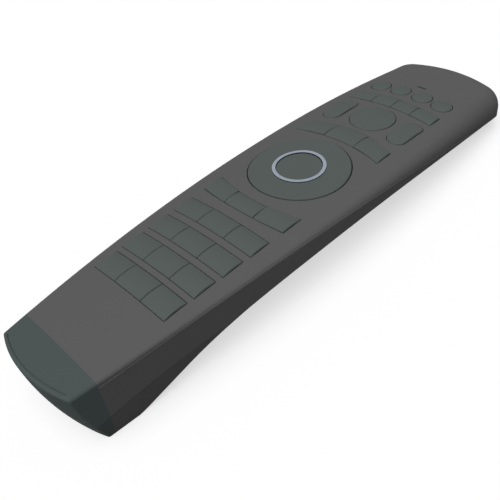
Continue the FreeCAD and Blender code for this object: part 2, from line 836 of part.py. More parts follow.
def round_key(label, x, y, radius, lap):
    """Round domed key, turned about its own axis, its flange wider than its window by lap."""
    body = new_body(label)
    frame = face_frame(x, y)
    flange_radius = radius + size("key_window_clearance") + lap
    under_wall = sag(size("crown_radius"), flange_radius) + size("top_wall") + size("flange_gap")
    bottom = -under_wall - size("flange_thickness")
    rise, stem = size("key_rise"), size("stem_radius")
    shoulder = rise - size("key_dome")
    dome_radius = (radius ** 2 + size("key_dome") ** 2) / (2 * size("key_dome"))
    top_middle = V(radius / 2, rise - sag(dome_radius, radius / 2), 0)
    points = [V(0, stem_end_in(frame), 0), V(stem, stem_end_in(frame), 0), V(stem, bottom, 0),
              V(flange_radius, bottom, 0), V(flange_radius, -under_wall, 0), V(radius, -under_wall, 0),
              V(radius, shoulder, 0)]
    curves = [Part.LineSegment(a, b) for a, b in zip(points, points[1:])]
    curves.append(Part.Arc(points[-1], top_middle, V(0, rise, 0)))
    curves.append(Part.LineSegment(V(0, rise, 0), points[0]))
    turned = body.newObject("PartDesign::Revolution", body.Name + "_turned")
    turned.Profile = sketch_in(body, "profile", "XZ_Plane", curves)
    turned.ReferenceAxis = (turned.Profile[0], ["V_Axis"])
    turned.Angle = 360.0
    round_rim(body, 0.0, "Sizes.key_edge_round")
    return keep(label, body, frame)


def round_places():
    """Label, centre, radius and flange lap of the round keys."""
    places = [("round_key", 0.0, size("round_key_y"), size("round_key_radius"), size("flange_lap"))]
    dots = [(-size("dot_outer_x"), size("dot_outer_y")), (-size("dot_inner_x"), size("dot_inner_y")),
            (size("dot_inner_x"), size("dot_inner_y")), (size("dot_outer_x"), size("dot_outer_y"))]
    for number, (x, y) in enumerate(dots, start=1):
        places.append(("dot_key_%d" % number, x, y, size("dot_radius"), size("dot_flange_lap")))
    return places


# Direction pad

NAV_FLANGE_RADIUS = size("nav_radius") + size("nav_clearance") + size("flange_lap")
NAV_FLANGE_TOP = -(size("top_wall") + sag(size("crown_radius"), NAV_FLANGE_RADIUS)
                   + size("nav_flange_gap"))
NAV_FLANGE_BOTTOM = NAV_FLANGE_TOP - size("flange_thickness")
PLATE_BOTTOM = size("mat_top_z") + size("rocker_gap") + size("rocker_tilt_room")
PLATE_TOP = PLATE_BOTTOM + size("plate_thickness")
RING_SEAT = -size("ring_depth")
LEDGE_BOTTOM = RING_SEAT - size("ledge_thickness")
SEAT_RADIUS = size("ring_outer_radius") + size("ring_fit")
LEDGE_RADIUS = SEAT_RADIUS - size("ledge_width")


def nav_ring():
    body = new_body("nav_ring")
    disc(body, "cap", "Sizes.nav_radius", "%f" % NAV_FLANGE_TOP,
         "%f + Sizes.crown_stock" % -NAV_FLANGE_TOP)
    crown_groove(body, "crown", size("nav_radius"), size("ring_rise"), 0.0)
    round_rim(body, NAV_FLANGE_TOP / 2, "Sizes.key_edge_round")
    disc(body, "flange", "%f" % NAV_FLANGE_RADIUS, "%f" % NAV_FLANGE_BOTTOM, "Sizes.flange_thickness")
    foot_end = PLATE_TOP + size("rocker_gap")
    for name, y in (("near_foot", "-Sizes.rocker_foot_offset"), ("far_foot", "Sizes.rocker_foot_offset")):
        disc(body, name, "Sizes.rocker_foot_radius", "%f" % foot_end,
             "%f" % (NAV_FLANGE_BOTTOM - foot_end), "0", y)
    top = "Sizes.crown_stock"
    bore(body, "through_bore", "%f" % LEDGE_RADIUS, top, "Sizes.crown_stock - Sizes.mat_top_z")
    bore(body, "ring_seat", "%f" % SEAT_RADIUS, top, "Sizes.crown_stock + Sizes.ring_depth")
    bore(body, "lower_bore", "%f" % SEAT_RADIUS, "%f" % LEDGE_BOTTOM, "-Sizes.mat_top_z")
    return keep("nav_ring", body)


def accent_ring():
    body = new_body("accent_ring")
    disc(body, "ring", "Sizes.ring_outer_radius", "-Sizes.ring_depth",
         "Sizes.ring_depth + 2 * Sizes.ring_rise + Sizes.crown_stock")
    crown_groove(body, "crown", size("ring_outer_radius"), 2 * size("ring_rise"), 0.0)
    bore(body, "inner_bore", "Sizes.ring_inner_radius", "Sizes.crown_stock",
         "Sizes.crown_stock - Sizes.mat_top_z")
    return keep("accent_ring", body)


def select_button():
    body = new_body("select_button")
    radius = size("ring_inner_radius") - size("select_clearance")
    flange_top = LEDGE_BOTTOM - size("flange_gap")
    flange_bottom = flange_top - size("flange_thickness")
    stem_end = size("mat_top_z") + size("key_travel") + size("stem_rest_gap")
    disc(body, "cap", "%f" % radius, "%f" % flange_top, "%f + Sizes.crown_stock" % -flange_top)
    crown_groove(body, "crown", radius, size("ring_rise"), 0.0)
    round_rim(body, RING_SEAT / 2, "Sizes.key_edge_round / 2")
    disc(body, "flange", "%f" % ((LEDGE_RADIUS + SEAT_RADIUS) / 2), "%f" % flange_bottom,
         "Sizes.flange_thickness")
    disc(body, "stem", "Sizes.stem_radius", "%f" % stem_end, "%f" % (flange_bottom - stem_end))
    return keep("select_button", body)


def rocker_plate():
    body = new_body("rocker_plate")
    disc(body, "plate", "Sizes.plate_radius", "%f" % PLATE_BOTTOM, "Sizes.plate_thickness")
    foot_end = size("mat_top_z") + size("rocker_gap")
    for name, x in (("left_foot", "-Sizes.rocker_foot_offset"), ("right_foot", "Sizes.rocker_foot_offset")):
        disc(body, name, "Sizes.rocker_foot_radius", "%f" % foot_end, "%f" % (PLATE_BOTTOM - foot_end), x)
    bore(body, "stem_hole", "2 * Sizes.stem_radius", "0", "-Sizes.mat_top_z")
    return keep("rocker_plate", body)


# Mat, board and what it carries

BOARD_TOP = size("mat_top_z") - size("mat_thickness")
BOARD_BOTTOM = BOARD_TOP - size("board_thickness")


def polygon(points):
    return [Part.LineSegment(a, b) for a, b in zip(points, points[1:] + points[:1])]


def keypad_mat():
    body = new_body("keypad_mat")
    half, near, far = size("mat_half_width"), size("mat_near_y"), size("mat_far_y")
    corners = [V(-half, near, 0), V(half, near, 0), V(half, far, 0), V(-half, far, 0)]
    sketch = sketch_in(body, "outline", "XY_Plane", polygon(corners), "%f" % BOARD_TOP)
    pad(body, sketch, "sheet", "Sizes.mat_thickness")
    return keep("keypad_mat", body)


def circuit_board():
    body = new_body("circuit_board")
    half, narrow = size("mat_half_width"), size("board_near_half_width")
    near, waist, far = size("board_near_y"), size("mat_near_y"), size("board_far_y")
    right = [V(narrow, near, 0), V(half, waist, 0), V(half, far, 0)]
    left = [V(-point.x, point.y, 0) for point in reversed(right)]
    sketch = sketch_in(body, "outline", "XY_Plane", polygon(right + left), "%f" % BOARD_BOTTOM)
    pad(body, sketch, "sheet", "Sizes.board_thickness")
    return keep("circuit_board", body)


def controller_chip():
    """Flat square package under the board."""
    body = new_body("controller_chip")
    half, thick = size("chip_width") / 2, size("chip_thickness")
    y = size("chip_y")
    corners = [V(-half, y - half, 0), V(half, y - half, 0), V(half, y + half, 0), V(-half, y + half, 0)]
    sketch = sketch_in(body, "outline", "XY_Plane", polygon(corners), "%f" % (BOARD_BOTTOM - thick))
    pad(body, sketch, "package", "Sizes.chip_thickness")
    return keep("controller_chip", body)


def infrared_emitters():
    """Two round emitters lying behind the far window, their domes towards it."""
    radius, length = size("emitter_radius"), size("emitter_length")
    emitters = []
    for x in (-size("emitter_x"), size("emitter_x")):
        start = V(x, size("board_far_y") + size("flange_gap"), size("emitter_z"))
        barrel = Part.makeCylinder(radius, length - radius, start, Y_AXIS)
        dome = Part.makeSphere(radius, start + V(0, length - radius, 0))
        emitters.append(barrel.fuse(dome).removeSplitter())
    return feature("ir_emitters", Part.makeCompound(emitters))


# Cells and contacts, in a frame that tilts down towards the near end

def cell_frame():
    z = BOARD_BOTTOM - size("cell_board_gap") - size("cell_radius")
    return FreeCAD.Placement(V(0, size("cell_front_y"), z), FreeCAD.Rotation(X_AXIS, size("cell_tilt")))


def battery_cells():
    """Two cells side by side, the left one with its nub forward and the right one rearward."""
    length, nub = size("cell_length"), size("cell_nub_length")
    for side, label in ((-1, "battery_left"), (1, "battery_right")):
        body = new_body(label)
        r, n = size("cell_radius"), size("cell_nub_radius")
        profile = polygon([V(0, 0, 0), V(0, length, 0), V(n, length, 0), V(n, length - nub, 0),
                           V(r, length - nub, 0), V(r, 0, 0)])
        turned = body.newObject("PartDesign::Revolution", body.Name + "_turned")
        turned.Profile = sketch_in(body, "profile", "XY_Plane", profile)
        turned.ReferenceAxis = (turned.Profile[0], ["V_Axis"])
        turned.Angle = 360.0
        x = side * size("cell_half_pitch")
        turn = FreeCAD.Rotation(Z_AXIS, 0 if side < 0 else 180)
        shift = V(x, -length if side < 0 else 0, 0)
        keep(label, body, cell_frame().multiply(FreeCAD.Placement(shift, turn)))


def spring_contacts():
    """Conical springs between the bay's front wall and the cells."""
    springs = []
    radius, length = size("cell_radius"), size("spring_length")
    for x in (-size("cell_half_pitch"), size("cell_half_pitch")):
        cone = Part.makeCone(radius / 3, 2 * radius / 3, length, V(x, 0, 0), Y_AXIS)
        hole = Part.makeCone(radius / 3 - size("contact_thickness"),
                             2 * radius / 3 - size("contact_thickness"), length, V(x, 0, 0), Y_AXIS)
        springs.append(cone.cut(hole))
    return feature("spring_contacts", Part.makeCompound(springs), cell_frame())


BRIDGE_FACE_Y = -size("cell_length") - size("flange_gap")


def contact_bridge():
    """Plate on the end cap that joins the two cells."""
    thick = size("contact_thickness")
    half = size("cell_half_pitch") + size("cell_radius") - thick
    tall = 2 * size("cell_radius") / 3
    plate = box(-half, half, BRIDGE_FACE_Y - thick, BRIDGE_FACE_Y, -tall, tall)
    return feature("contact_bridge", plate, cell_frame())


# Casing

OUTER = trimmed(casing_block(0, 0, size("shoulder_near"), size("shoulder_far")), 0, 0)
INNER = trimmed(casing_block(size("side_wall"), size("top_wall"), size("shoulder_near") / 2,
                             size("shoulder_far") - size("side_wall") + size("shoulder_near") / 2),
                size("floor_wall"), size("side_wall") / 2)


def near_block(inset):
    """The casing's form round the cap joint, moved in from all sides by inset."""
    near, far = size("cap_lip_y") - size("cap_wall"), size("ramp_start_y")
    radius = size("shoulder_near")
    wires = [section(y, inset, inset, radius, radius) for y in spaced(near, far, PLAIN_STEPS)]
    block = Part.makeLoft(wires, True, False)
    return trimmed(block, inset, inset)


JOINT_Y = size("cap_joint_y")
NOSE_BORE = near_block(size("cap_wall") + size("cap_clearance") + size("nose_wall"))
AHEAD = box(-REACH_X, REACH_X, JOINT_Y, FAR_Y, DEEP_Z, SKY_Z)


def lower_zone():
    """What belongs to the lower shell: all under the parting, but not the roof within the walls."""
    column = Part.Face(plan_outline(size("side_wall") + size("rim_lip"), NEAR_Y))
    column.translate(V(0, 0, BOARD_BOTTOM))
    return below_parting().cut(column.extrude(V(0, 0, SKY_Z - BOARD_BOTTOM)))


def hollow_walls():
    """Both shells' walls as one hollow form, open at the near end for the cells."""
    end_wall_y = JOINT_Y + size("nose_wall")
    hollow = INNER.common(box(-REACH_X, REACH_X, end_wall_y, FAR_Y, DEEP_Z, SKY_Z))
    mouth = NOSE_BORE.common(box(-REACH_X, REACH_X, NEAR_Y, end_wall_y, DEEP_Z, SKY_Z))
    return OUTER.common(AHEAD).cut(hollow).cut(mouth)


def nose():
    """Collar on the lower shell that the end cap slides over."""
    outside = near_block(size("cap_wall") + size("cap_clearance"))
    outside = outside.cut(cap_front(size("cap_wall") + 2 * size("cap_clearance")))
    end_y = JOINT_Y - size("nose_length")
    return outside.common(box(-REACH_X, REACH_X, end_y, JOINT_Y, DEEP_Z, SKY_Z)).cut(NOSE_BORE)


def screw_places():
    """Centres of the four screws and the height of their heads' seats."""
    places = []
    for pair in ("near", "far"):
        for side in (-1, 1):
            places.append((side * size("screw_%s_x" % pair), size("screw_%s_y" % pair)))
    return places


SEAT_Z = size("post_end_z") - size("boss_roof")


def upper_shell(walls, zone):
    shell = walls.cut(zone)
    for x, y in screw_places():
        post = Part.makeCylinder(size("post_radius"), -size("post_end_z"), V(x, y, size("post_end_z")))
        shell = shell.fuse(post.common(INNER))
    pilot = size("screw_shank_radius") + size("screw_fit")
    depth = screw_length() - size("boss_roof") + size("screw_fit")
    cuts = [Part.makeCylinder(pilot, depth, V(x, y, size("post_end_z"))) for x, y in screw_places()]
    clear = size("key_window_clearance")
    for row in key_rows():
        cuts.append(window_prism(row.outline(-math.inf, math.inf, clear), row_frame(row.middle)))
    for side in (-1, 1):
        cuts.append(window_prism(side_key_outline(side, clear), row_frame(side_key_middle())))
    for _, x, y, radius, _ in round_places():
        cuts.append(round_prism(radius + clear, face_frame(x, y)))
    cuts.append(round_prism(size("nav_radius") + size("nav_clearance"), row_frame(0.0)))
    cuts.append(lens_block())
    cuts.append(window_block())
    return feature("upper_shell", shell.cut(cuts).removeSplitter())


def lens_block():
    half_x, half_y = size("lens_length") / 2, size("lens_width") / 2
    y = size("lens_y")
    top = size("mat_top_z") + size("key_travel")
    return box(-half_x, half_x, y - half_y, y + half_y, top, SKY_Z)


def window_block():
    half = size("window_half_width")
    inner_y = size("tip_y") - size("tip_corner_radius") / 2
    return box(-half, half, inner_y, FAR_Y, size("window_bottom_z"), size("window_top_z"))


def screw_length():
    """Length of the shank under the head."""
    return size("boss_roof") - size("post_end_z") - 2 * size("top_wall") - size("post_radius")


def lower_shell(walls, zone):
    shell = walls.common(zone)
    under_board = box(-REACH_X, REACH_X, NEAR_Y, FAR_Y, DEEP_Z, BOARD_BOTTOM)
    room = INNER.common(under_board)
    wall_y = size("spring_length")
    frame = cell_frame()
    tall = -DEEP_Z
    front = placed(box(-REACH_X, REACH_X, wall_y, wall_y + size("bay_wall"), -tall, tall), frame)
    additions = [nose(), front.common(room)]
    for share in (0.25, 0.75):
        y = -share * size("cell_length")
        rib = box(-REACH_X, REACH_X, y - size("bay_wall") / 2, y + size("bay_wall") / 2, -tall, 0)
        for x in (-size("cell_half_pitch"), size("cell_half_pitch")):
            radius = size("cell_radius") + size("cradle_clearance")
            rib = rib.cut(Part.makeCylinder(radius, size("cell_length"), V(x, 0, 0), -Y_AXIS))
        additions.append(placed(rib, frame).common(room))
    for y in (size("chip_y") - 2 * size("chip_width"), size("chip_y") + 2 * size("chip_width")):
        rib = box(-REACH_X, REACH_X, y - size("bay_wall") / 2, y + size("bay_wall") / 2,
                  DEEP_Z, BOARD_BOTTOM)
        additions.append(rib.common(room))
    boss_height = size("post_end_z") - DEEP_Z
    for x, y in screw_places():
        boss = Part.makeCylinder(size("boss_radius"), boss_height, V(x, y, DEEP_Z))
        additions.append(boss.common(INNER))
    head = size("screw_head_radius") + size("screw_fit")
    shank = size("screw_shank_radius") + size("screw_fit")
    bores = []
    for x, y in screw_places():
        bores.append(Part.makeCylinder(head, SEAT_Z - DEEP_Z, V(x, y, DEEP_Z)))
        bores.append(Part.makeCylinder(shank, boss_height, V(x, y, DEEP_Z)))
    shell = shell.fuse(additions).cut(bores).removeSplitter()
    edges = parting_edges(shell)
    return feature("lower_shell", shell.makeChamfer(size("parting_chamfer"), edges))


def parting_edges(shell):
    """The lower shell's outer edges along the parting line, right round the casing."""
    found = []
    radius, apex_y, apex_z = (size("parting_radius"), size("parting_apex_y"), size("parting_apex_z"))
    skin = Part.makeCompound(OUTER.Faces)
    for edge in shell.Edges:
        middle = edge.valueAt((edge.FirstParameter + edge.LastParameter) / 2)
        on_parting = abs(apex_z - sag(radius, middle.y - apex_y) - middle.z) < TOUCH
        if on_parting and middle.y > JOINT_Y + TOUCH:
            if skin.distToShape(Part.Vertex(middle))[0] < TOUCH:
                found.append(edge)
    return found


def housing_screws():
    shank, head = size("screw_shank_radius"), size("screw_head_radius")
    screws = []
    for x, y in screw_places():
        seat = V(x, y, SEAT_Z)
        body = Part.makeCylinder(shank, screw_length(), seat)
        cap = Part.makeCylinder(head, size("screw_head_height"), seat, -Z_AXIS)
        slot = box(x - head, x + head, y - shank / 3, y + shank / 3,
                   SEAT_Z - size("screw_head_height"), SEAT_Z - size("screw_head_height") / 2)
        cross = slot.copy()
        cross.rotate(seat, Z_AXIS, 90)
        screws.append(body.fuse(cap).cut([slot, cross]))
    return feature("housing_screws", Part.makeCompound(screws))


def end_cap():
    behind = box(-REACH_X, REACH_X, NEAR_Y, JOINT_Y, DEEP_Z, SKY_Z)
    front = cap_front(0)
    form = OUTER.common(behind).cut(front)
    lips = [edge for edge in form.Edges if on_cap_front(edge, front)]
    form = form.makeFillet(size("cap_edge_round"), lips)
    hollow = near_block(size("cap_wall")).cut(cap_front(size("cap_wall"))).common(
        box(-REACH_X, REACH_X, NEAR_Y, JOINT_Y + size("cap_wall"), DEEP_Z, SKY_Z))
    half = size("cell_half_pitch")
    post = box(-half, half, NEAR_Y, BRIDGE_FACE_Y - size("contact_thickness"), -half / 2, half / 2)
    boss = placed(post, cell_frame()).common(form)
    groove_back = size("cap_groove_inset") + size("cap_groove_width")
    groove = cap_front(groove_back).cut(cap_front(size("cap_groove_inset")))
    groove = groove.cut(crowned_slab(size("cap_groove_depth"))).common(
        box(-size("cap_groove_half"), size("cap_groove_half"), NEAR_Y, JOINT_Y, DEEP_Z, SKY_Z))
    return feature("end_cap", form.cut(hollow).fuse(boss).cut(groove))


def on_cap_front(edge, front):
    """Whether an edge bounds the cap's raked face along its top or sides."""
    middle = edge.valueAt((edge.FirstParameter + edge.LastParameter) / 2)
    if middle.z < size("rest_z") + size("cap_wall"):
        return False
    return front.distToShape(Part.Vertex(middle))[0] < TOUCH


def window_pane():
    pane = window_block().common(OUTER).cut(INNER)
    return feature("ir_window", pane)


def indicator_lens():
    lens = lens_block().common(crowned_slab(0.0, size("lens_rise")))
    return feature("indicator_lens", lens)


def resting_frame(casing):
    """Turns the drawing frame to stand on the resting plane, with its origin under the middle."""
    turn = FreeCAD.Placement(ORIGIN, FreeCAD.Rotation(X_AXIS, -size("rest_pitch")))
    turned = placed(casing, turn)
    extent = turned.optimalBoundingBox(True, False)
    contact = turn.multVec(V(0, JOINT_Y, size("rest_z")))
    shift = FreeCAD.Placement(V(0, -(extent.YMin + extent.YMax) / 2, -contact.z), FreeCAD.Rotation())
    return shift.multiply(turn)


def build():
    walls = hollow_walls()
    zone = lower_zone()
    upper_shell(walls, zone)
    lower_shell(walls, zone)
    end_cap()
    for row in key_rows():
        row_keys(row)
    side_keys()
    for place in round_places():
        round_key(*place)
    nav_ring()
    accent_ring()
    select_button()
    rocker_plate()
    keypad_mat()
    circuit_board()
    controller_chip()
    infrared_emitters()
    battery_cells()
    spring_contacts()
    contact_bridge()
    window_pane()
    indicator_lens()
    housing_screws()
    frame = resting_frame(OUTER.cut(cap_front(0)))
    for piece, place in PIECES:
        piece.Placement = frame.multiply(place)
    doc.recompute()


def write():
    os.makedirs("parts", exist_ok=True)
    for item in doc.Objects:
        if "Invalid" in item.State or "Error" in item.State:
            raise RuntimeError("%s failed: %s" % (item.Label, item.State))
    for piece, _ in PIECES:
        shape = piece.Shape
        if shape.isNull() or not shape.isValid() or not shape.Solids:
            raise RuntimeError("%s has no valid solid" % piece.Label)
        print("%-22s %2d solid %10.2f mm3" % (piece.Label, len(shape.Solids), shape.Volume))
        shape.exportStep("parts/%s.step" % piece.Label)


build()
write()
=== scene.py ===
"""Looks of a long handheld remote control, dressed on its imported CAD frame.

Sizes are in metres and turns in degrees, unless a docstring says otherwise.
"""
import json
import logging
import math
from dataclasses import dataclass
from enum import Enum
from typing import Sequence

import bmesh
import bpy
from mathutils import Matrix, Vector
from mathutils.bvhtree import BVHTree


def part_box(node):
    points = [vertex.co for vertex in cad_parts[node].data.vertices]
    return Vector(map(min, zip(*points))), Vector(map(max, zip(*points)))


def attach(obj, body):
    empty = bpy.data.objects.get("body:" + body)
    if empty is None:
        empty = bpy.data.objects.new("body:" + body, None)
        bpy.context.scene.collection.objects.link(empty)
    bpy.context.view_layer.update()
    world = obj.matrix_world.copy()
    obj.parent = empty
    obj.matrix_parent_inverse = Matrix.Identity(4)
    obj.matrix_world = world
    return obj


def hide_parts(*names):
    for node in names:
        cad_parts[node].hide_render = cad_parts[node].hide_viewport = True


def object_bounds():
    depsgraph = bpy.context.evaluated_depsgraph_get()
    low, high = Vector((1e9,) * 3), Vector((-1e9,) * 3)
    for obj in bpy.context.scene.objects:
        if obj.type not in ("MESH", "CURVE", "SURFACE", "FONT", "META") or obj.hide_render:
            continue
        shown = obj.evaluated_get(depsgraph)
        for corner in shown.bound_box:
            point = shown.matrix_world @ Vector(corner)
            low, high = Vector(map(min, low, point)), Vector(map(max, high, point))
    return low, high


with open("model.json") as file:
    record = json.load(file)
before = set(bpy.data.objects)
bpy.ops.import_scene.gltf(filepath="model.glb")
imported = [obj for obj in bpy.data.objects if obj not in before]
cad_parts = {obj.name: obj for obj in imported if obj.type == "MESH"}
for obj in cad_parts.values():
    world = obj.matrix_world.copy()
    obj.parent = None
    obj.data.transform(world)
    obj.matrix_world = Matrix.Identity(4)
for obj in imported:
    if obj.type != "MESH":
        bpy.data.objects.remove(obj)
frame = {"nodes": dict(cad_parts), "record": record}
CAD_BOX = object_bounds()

Colour = tuple[float, float, float]
Triple = tuple[float, float, float]
Pair = tuple[float, float]
Form = bmesh.types.BMesh
Ring = list[bmesh.types.BMVert]

LOG = logging.getLogger("remote")
MM = 0.001
FULL_TURN = 2 * math.pi
ROUND_STEPS = 48
X_AXIS, Y_AXIS, Z_AXIS = Vector((1, 0, 0)), Vector((0, 1, 0)), Vector((0, 0, 1))
DOWN = Vector((0, 0, -1))

# The left and the right side, as the sign of X.
SIDES = (-1, 1)

# The display curve. No colour here is dark enough to reach its short straight foot.
DISPLAY_STEPS = 255
DISPLAY_LIFT = 0.055
DISPLAY_POWER = 2.4

BLACK = (0.0, 0.0, 0.0)
WHITE = (1.0, 1.0, 1.0)
NOISE_MEAN = 0.5

# The Mix node's sockets for colours. Its others are for numbers and vectors.
MIX_SHARE, MIX_FIRST, MIX_SECOND, MIX_RESULT = 0, 6, 7, 2


def linear(red: float, green: float, blue: float) -> Colour:
    """Linear colour of a display colour given in steps of 0 to 255."""
    shares = [step / DISPLAY_STEPS for step in (red, green, blue)]
    return tuple(((share + DISPLAY_LIFT) / (1 + DISPLAY_LIFT)) ** DISPLAY_POWER
                 for share in shares)


def scaled(colour: Colour, share: float) -> Colour:
    """The colour with each part times a share."""
    return tuple(part * share for part in colour)


class Slot(Enum):
    """The record's material slots."""

    CASING = "casing_grey"
    LOWER = "casing_dark"
    CAP = "cap_plastic"
    KEY = "key_plastic"
    RING = "bright_ring"
    INNER = "inner_plastic"
    MAT = "mat_rubber"
    BOARD = "board_laminate"
    CHIP = "chip_black"
    RESIN = "emitter_resin"
    SLEEVE = "cell_sleeve"
    CONTACT = "contact_steel"
    SCREW = "screw_steel"
    WINDOW = "window_dark"
    LENS = "lens_clear"


class Value:
    """A shader value. Arithmetic on it adds Math nodes to its tree."""

    def __init__(self, tree: "Tree", socket: bpy.types.NodeSocket) -> None:
        """Keep the socket and the tree that it belongs to."""
        self.tree = tree
        self.socket = socket

    def math(self, operation: str, *others: "Value | float") -> "Value":
        """Add one Math node.

        Args:
            operation: The Math node's operation.
            others: What follows this value in its inputs.

        Returns:
            The node's value.
        """
        inputs = dict(enumerate((self, *others)))
        return self.tree.value("ShaderNodeMath", {"operation": operation}, inputs)

    def __add__(self, other: "Value | float") -> "Value":
        """Sum."""
        return self.math("ADD", other)

    __radd__ = __add__

    def __mul__(self, other: "Value | float") -> "Value":
        """Product."""
        return self.math("MULTIPLY", other)

    __rmul__ = __mul__

    def __sub__(self, other: "Value | float") -> "Value":
        """Difference."""
        return self.math("SUBTRACT", other)

    def __rsub__(self, other: float) -> "Value":
        """Difference from a number."""
        return self * -1.0 + other

    def __truediv__(self, other: "Value | float") -> "Value":
        """Quotient."""
        return self.math("DIVIDE", other)

    def __rtruediv__(self, other: float) -> "Value":
        """Quotient of a number by this value."""
        return self.tree.value("ShaderNodeMath", {"operation": "DIVIDE"}, {0: other, 1: self})

    def __abs__(self) -> "Value":
        """Size without sign."""
        return self.math("ABSOLUTE")

    def between(self, low: float, high: float) -> "Value":
        """Step smoothly from 0 to 1.

        Args:
            low: Where the step starts.
            high: Where it ends.

        Returns:
            The step's value.
        """
        settings = {"interpolation_type": "SMOOTHSTEP"}
        inputs = {"Value": self, "From Min": low, "From Max": high}
        return self.tree.value("ShaderNodeMapRange", settings, inputs)


class Tree:
    """A tree of shader nodes."""

    def __init__(self, tree: bpy.types.NodeTree) -> None:
        """Start with no node.

        Args:
            tree: Blender's tree, which is emptied.
        """
        self.nodes = tree.nodes
        self.links = tree.links
        self.nodes.clear()

    def node(self, kind: str, settings: dict | None = None,
             inputs: dict | None = None) -> bpy.types.Node:
        """Add a node.

        Args:
            kind: The node's type.
            settings: Its properties, which are set first.
            inputs: Values or links of its sockets, by name or by number.

        Returns:
            The new node.
        """
        made = self.nodes.new(kind)
        for name, setting in (settings or {}).items():
            setattr(made, name, setting)
        for name, given in (inputs or {}).items():
            self.feed(made.inputs[name], given)
        return made

    def feed(self, socket: bpy.types.NodeSocket, given: Value | Colour | float) -> None:
        """Link a value to a socket, or set the socket.

        Args:
            socket: The socket.
            given: The value that is linked, or the plain number or colour that is set.
        """
        if isinstance(given, Value):
            self.links.new(given.socket, socket)
        elif isinstance(given, tuple) and socket.type == "RGBA":
            socket.default_value = (*given, 1.0)
        else:
            socket.default_value = given

    def out(self, node: bpy.types.Node, name: str | int = 0) -> Value:
        """One output of a node as a value."""
        return Value(self, node.outputs[name])

    def value(self, kind: str, settings: dict | None = None, inputs: dict | None = None,
              output: str | int = 0) -> Value:
        """Add a node and return one of its outputs."""
        return self.out(self.node(kind, settings, inputs), output)


class Shader(Tree):
    """The node tree of one material."""

    def __init__(self, name: str) -> None:
        """Make an empty material with a Principled shader at its output.

        Args:
            name: The material's name.
        """
        self.material = bpy.data.materials.new(name)
        self.material.use_nodes = True
        super().__init__(self.material.node_tree)
        self.surface = self.node("ShaderNodeBsdfPrincipled")
        self.node("ShaderNodeOutputMaterial", inputs={"Surface": self.out(self.surface)})
        self.place = self.value("ShaderNodeTexCoord", output="Object")

    def set(self, **inputs: Value | Colour | float) -> None:
        """Feed the Principled shader's sockets, named with underscores for spaces."""
        for name, given in inputs.items():
            self.feed(self.surface.inputs[name.replace("_", " ")], given)

    def noise(self, size: float, detail: float = 3.0) -> Value:
        """Cloudy noise from 0 to 1 whose features are about this many metres."""
        inputs = {"Vector": self.place, "Scale": 1 / size, "Detail": detail}
        return self.value("ShaderNodeTexNoise", {}, inputs, "Fac")

    def cells(self, size: float) -> Value:
        """Distance to the nearest point of a random cloud this many metres apart."""
        inputs = {"Vector": self.place, "Scale": 1 / size}
        return self.value("ShaderNodeTexVoronoi", {}, inputs, "Distance")

    def axes(self) -> tuple[Value, Value, Value]:
        """Object coordinates as three values in metres."""
        split = self.node("ShaderNodeSeparateXYZ", inputs={0: self.place})
        return self.out(split, 0), self.out(split, 1), self.out(split, 2)

    def mix(self, share: Value | float, first: Colour | Value, second: Colour | Value) -> Value:
        """Colour between two colours, at a share of the way to the second."""
        inputs = {MIX_SHARE: share, MIX_FIRST: first, MIX_SECOND: second}
        return self.value("ShaderNodeMix", {"data_type": "RGBA"}, inputs, MIX_RESULT)

    def bump(self, height: Value, depth: float) -> None:
        """Raise the surface by this height, up to depth metres."""
        inputs = {"Height": height, "Distance": depth, "Strength": 1.0}
        self.set(Normal=self.value("ShaderNodeBump", {}, inputs, "Normal"))


@dataclass(frozen=True)
class Plastic:
    """Moulded plastic with a spark-eroded grain, slight mottling and handled patches.

    Each wear is how far its pattern moves the roughness. The darkest and the lightest colour
    stand off the middle one by the contrast.
    """

    name: str
    colour: Colour
    roughness: float = 0.75
    gloss: float = 0.02
    grain: float = 0.35 * MM
    depth: float = 0.006 * MM
    mottle: float = 0.05
    contrast: float = 0.1
    patch: float = 18 * MM
    patch_wear: float = 0.1
    grain_wear: float = 0.04
    pore_grains: float = 2.0
    pore_share: float = 0.4
    detail: float = 2.0

    def make(self) -> bpy.types.Material:
        """Build the material.

        Returns:
            The material, for a CAD node or a new piece.
        """
        shader = Shader(self.name)
        patches = shader.noise(self.patch, self.detail)
        fine = shader.noise(self.grain, self.detail)
        pores = shader.cells(self.grain * self.pore_grains)
        mottling = (patches - NOISE_MEAN) * self.mottle + (fine - NOISE_MEAN) * self.mottle
        dark = scaled(self.colour, 1 - self.contrast)
        light = scaled(self.colour, 1 + self.contrast)
        smoothest = self.roughness - (self.patch_wear + self.grain_wear) * NOISE_MEAN
        shader.set(Base_Color=shader.mix(mottling + 0.5, dark, light),
                   Roughness=patches * self.patch_wear + fine * self.grain_wear + smoothest,
                   Specular_IOR_Level=self.gloss)
        shader.bump(fine * (1 - self.pore_share) + pores * self.pore_share, self.depth)
        return shader.material


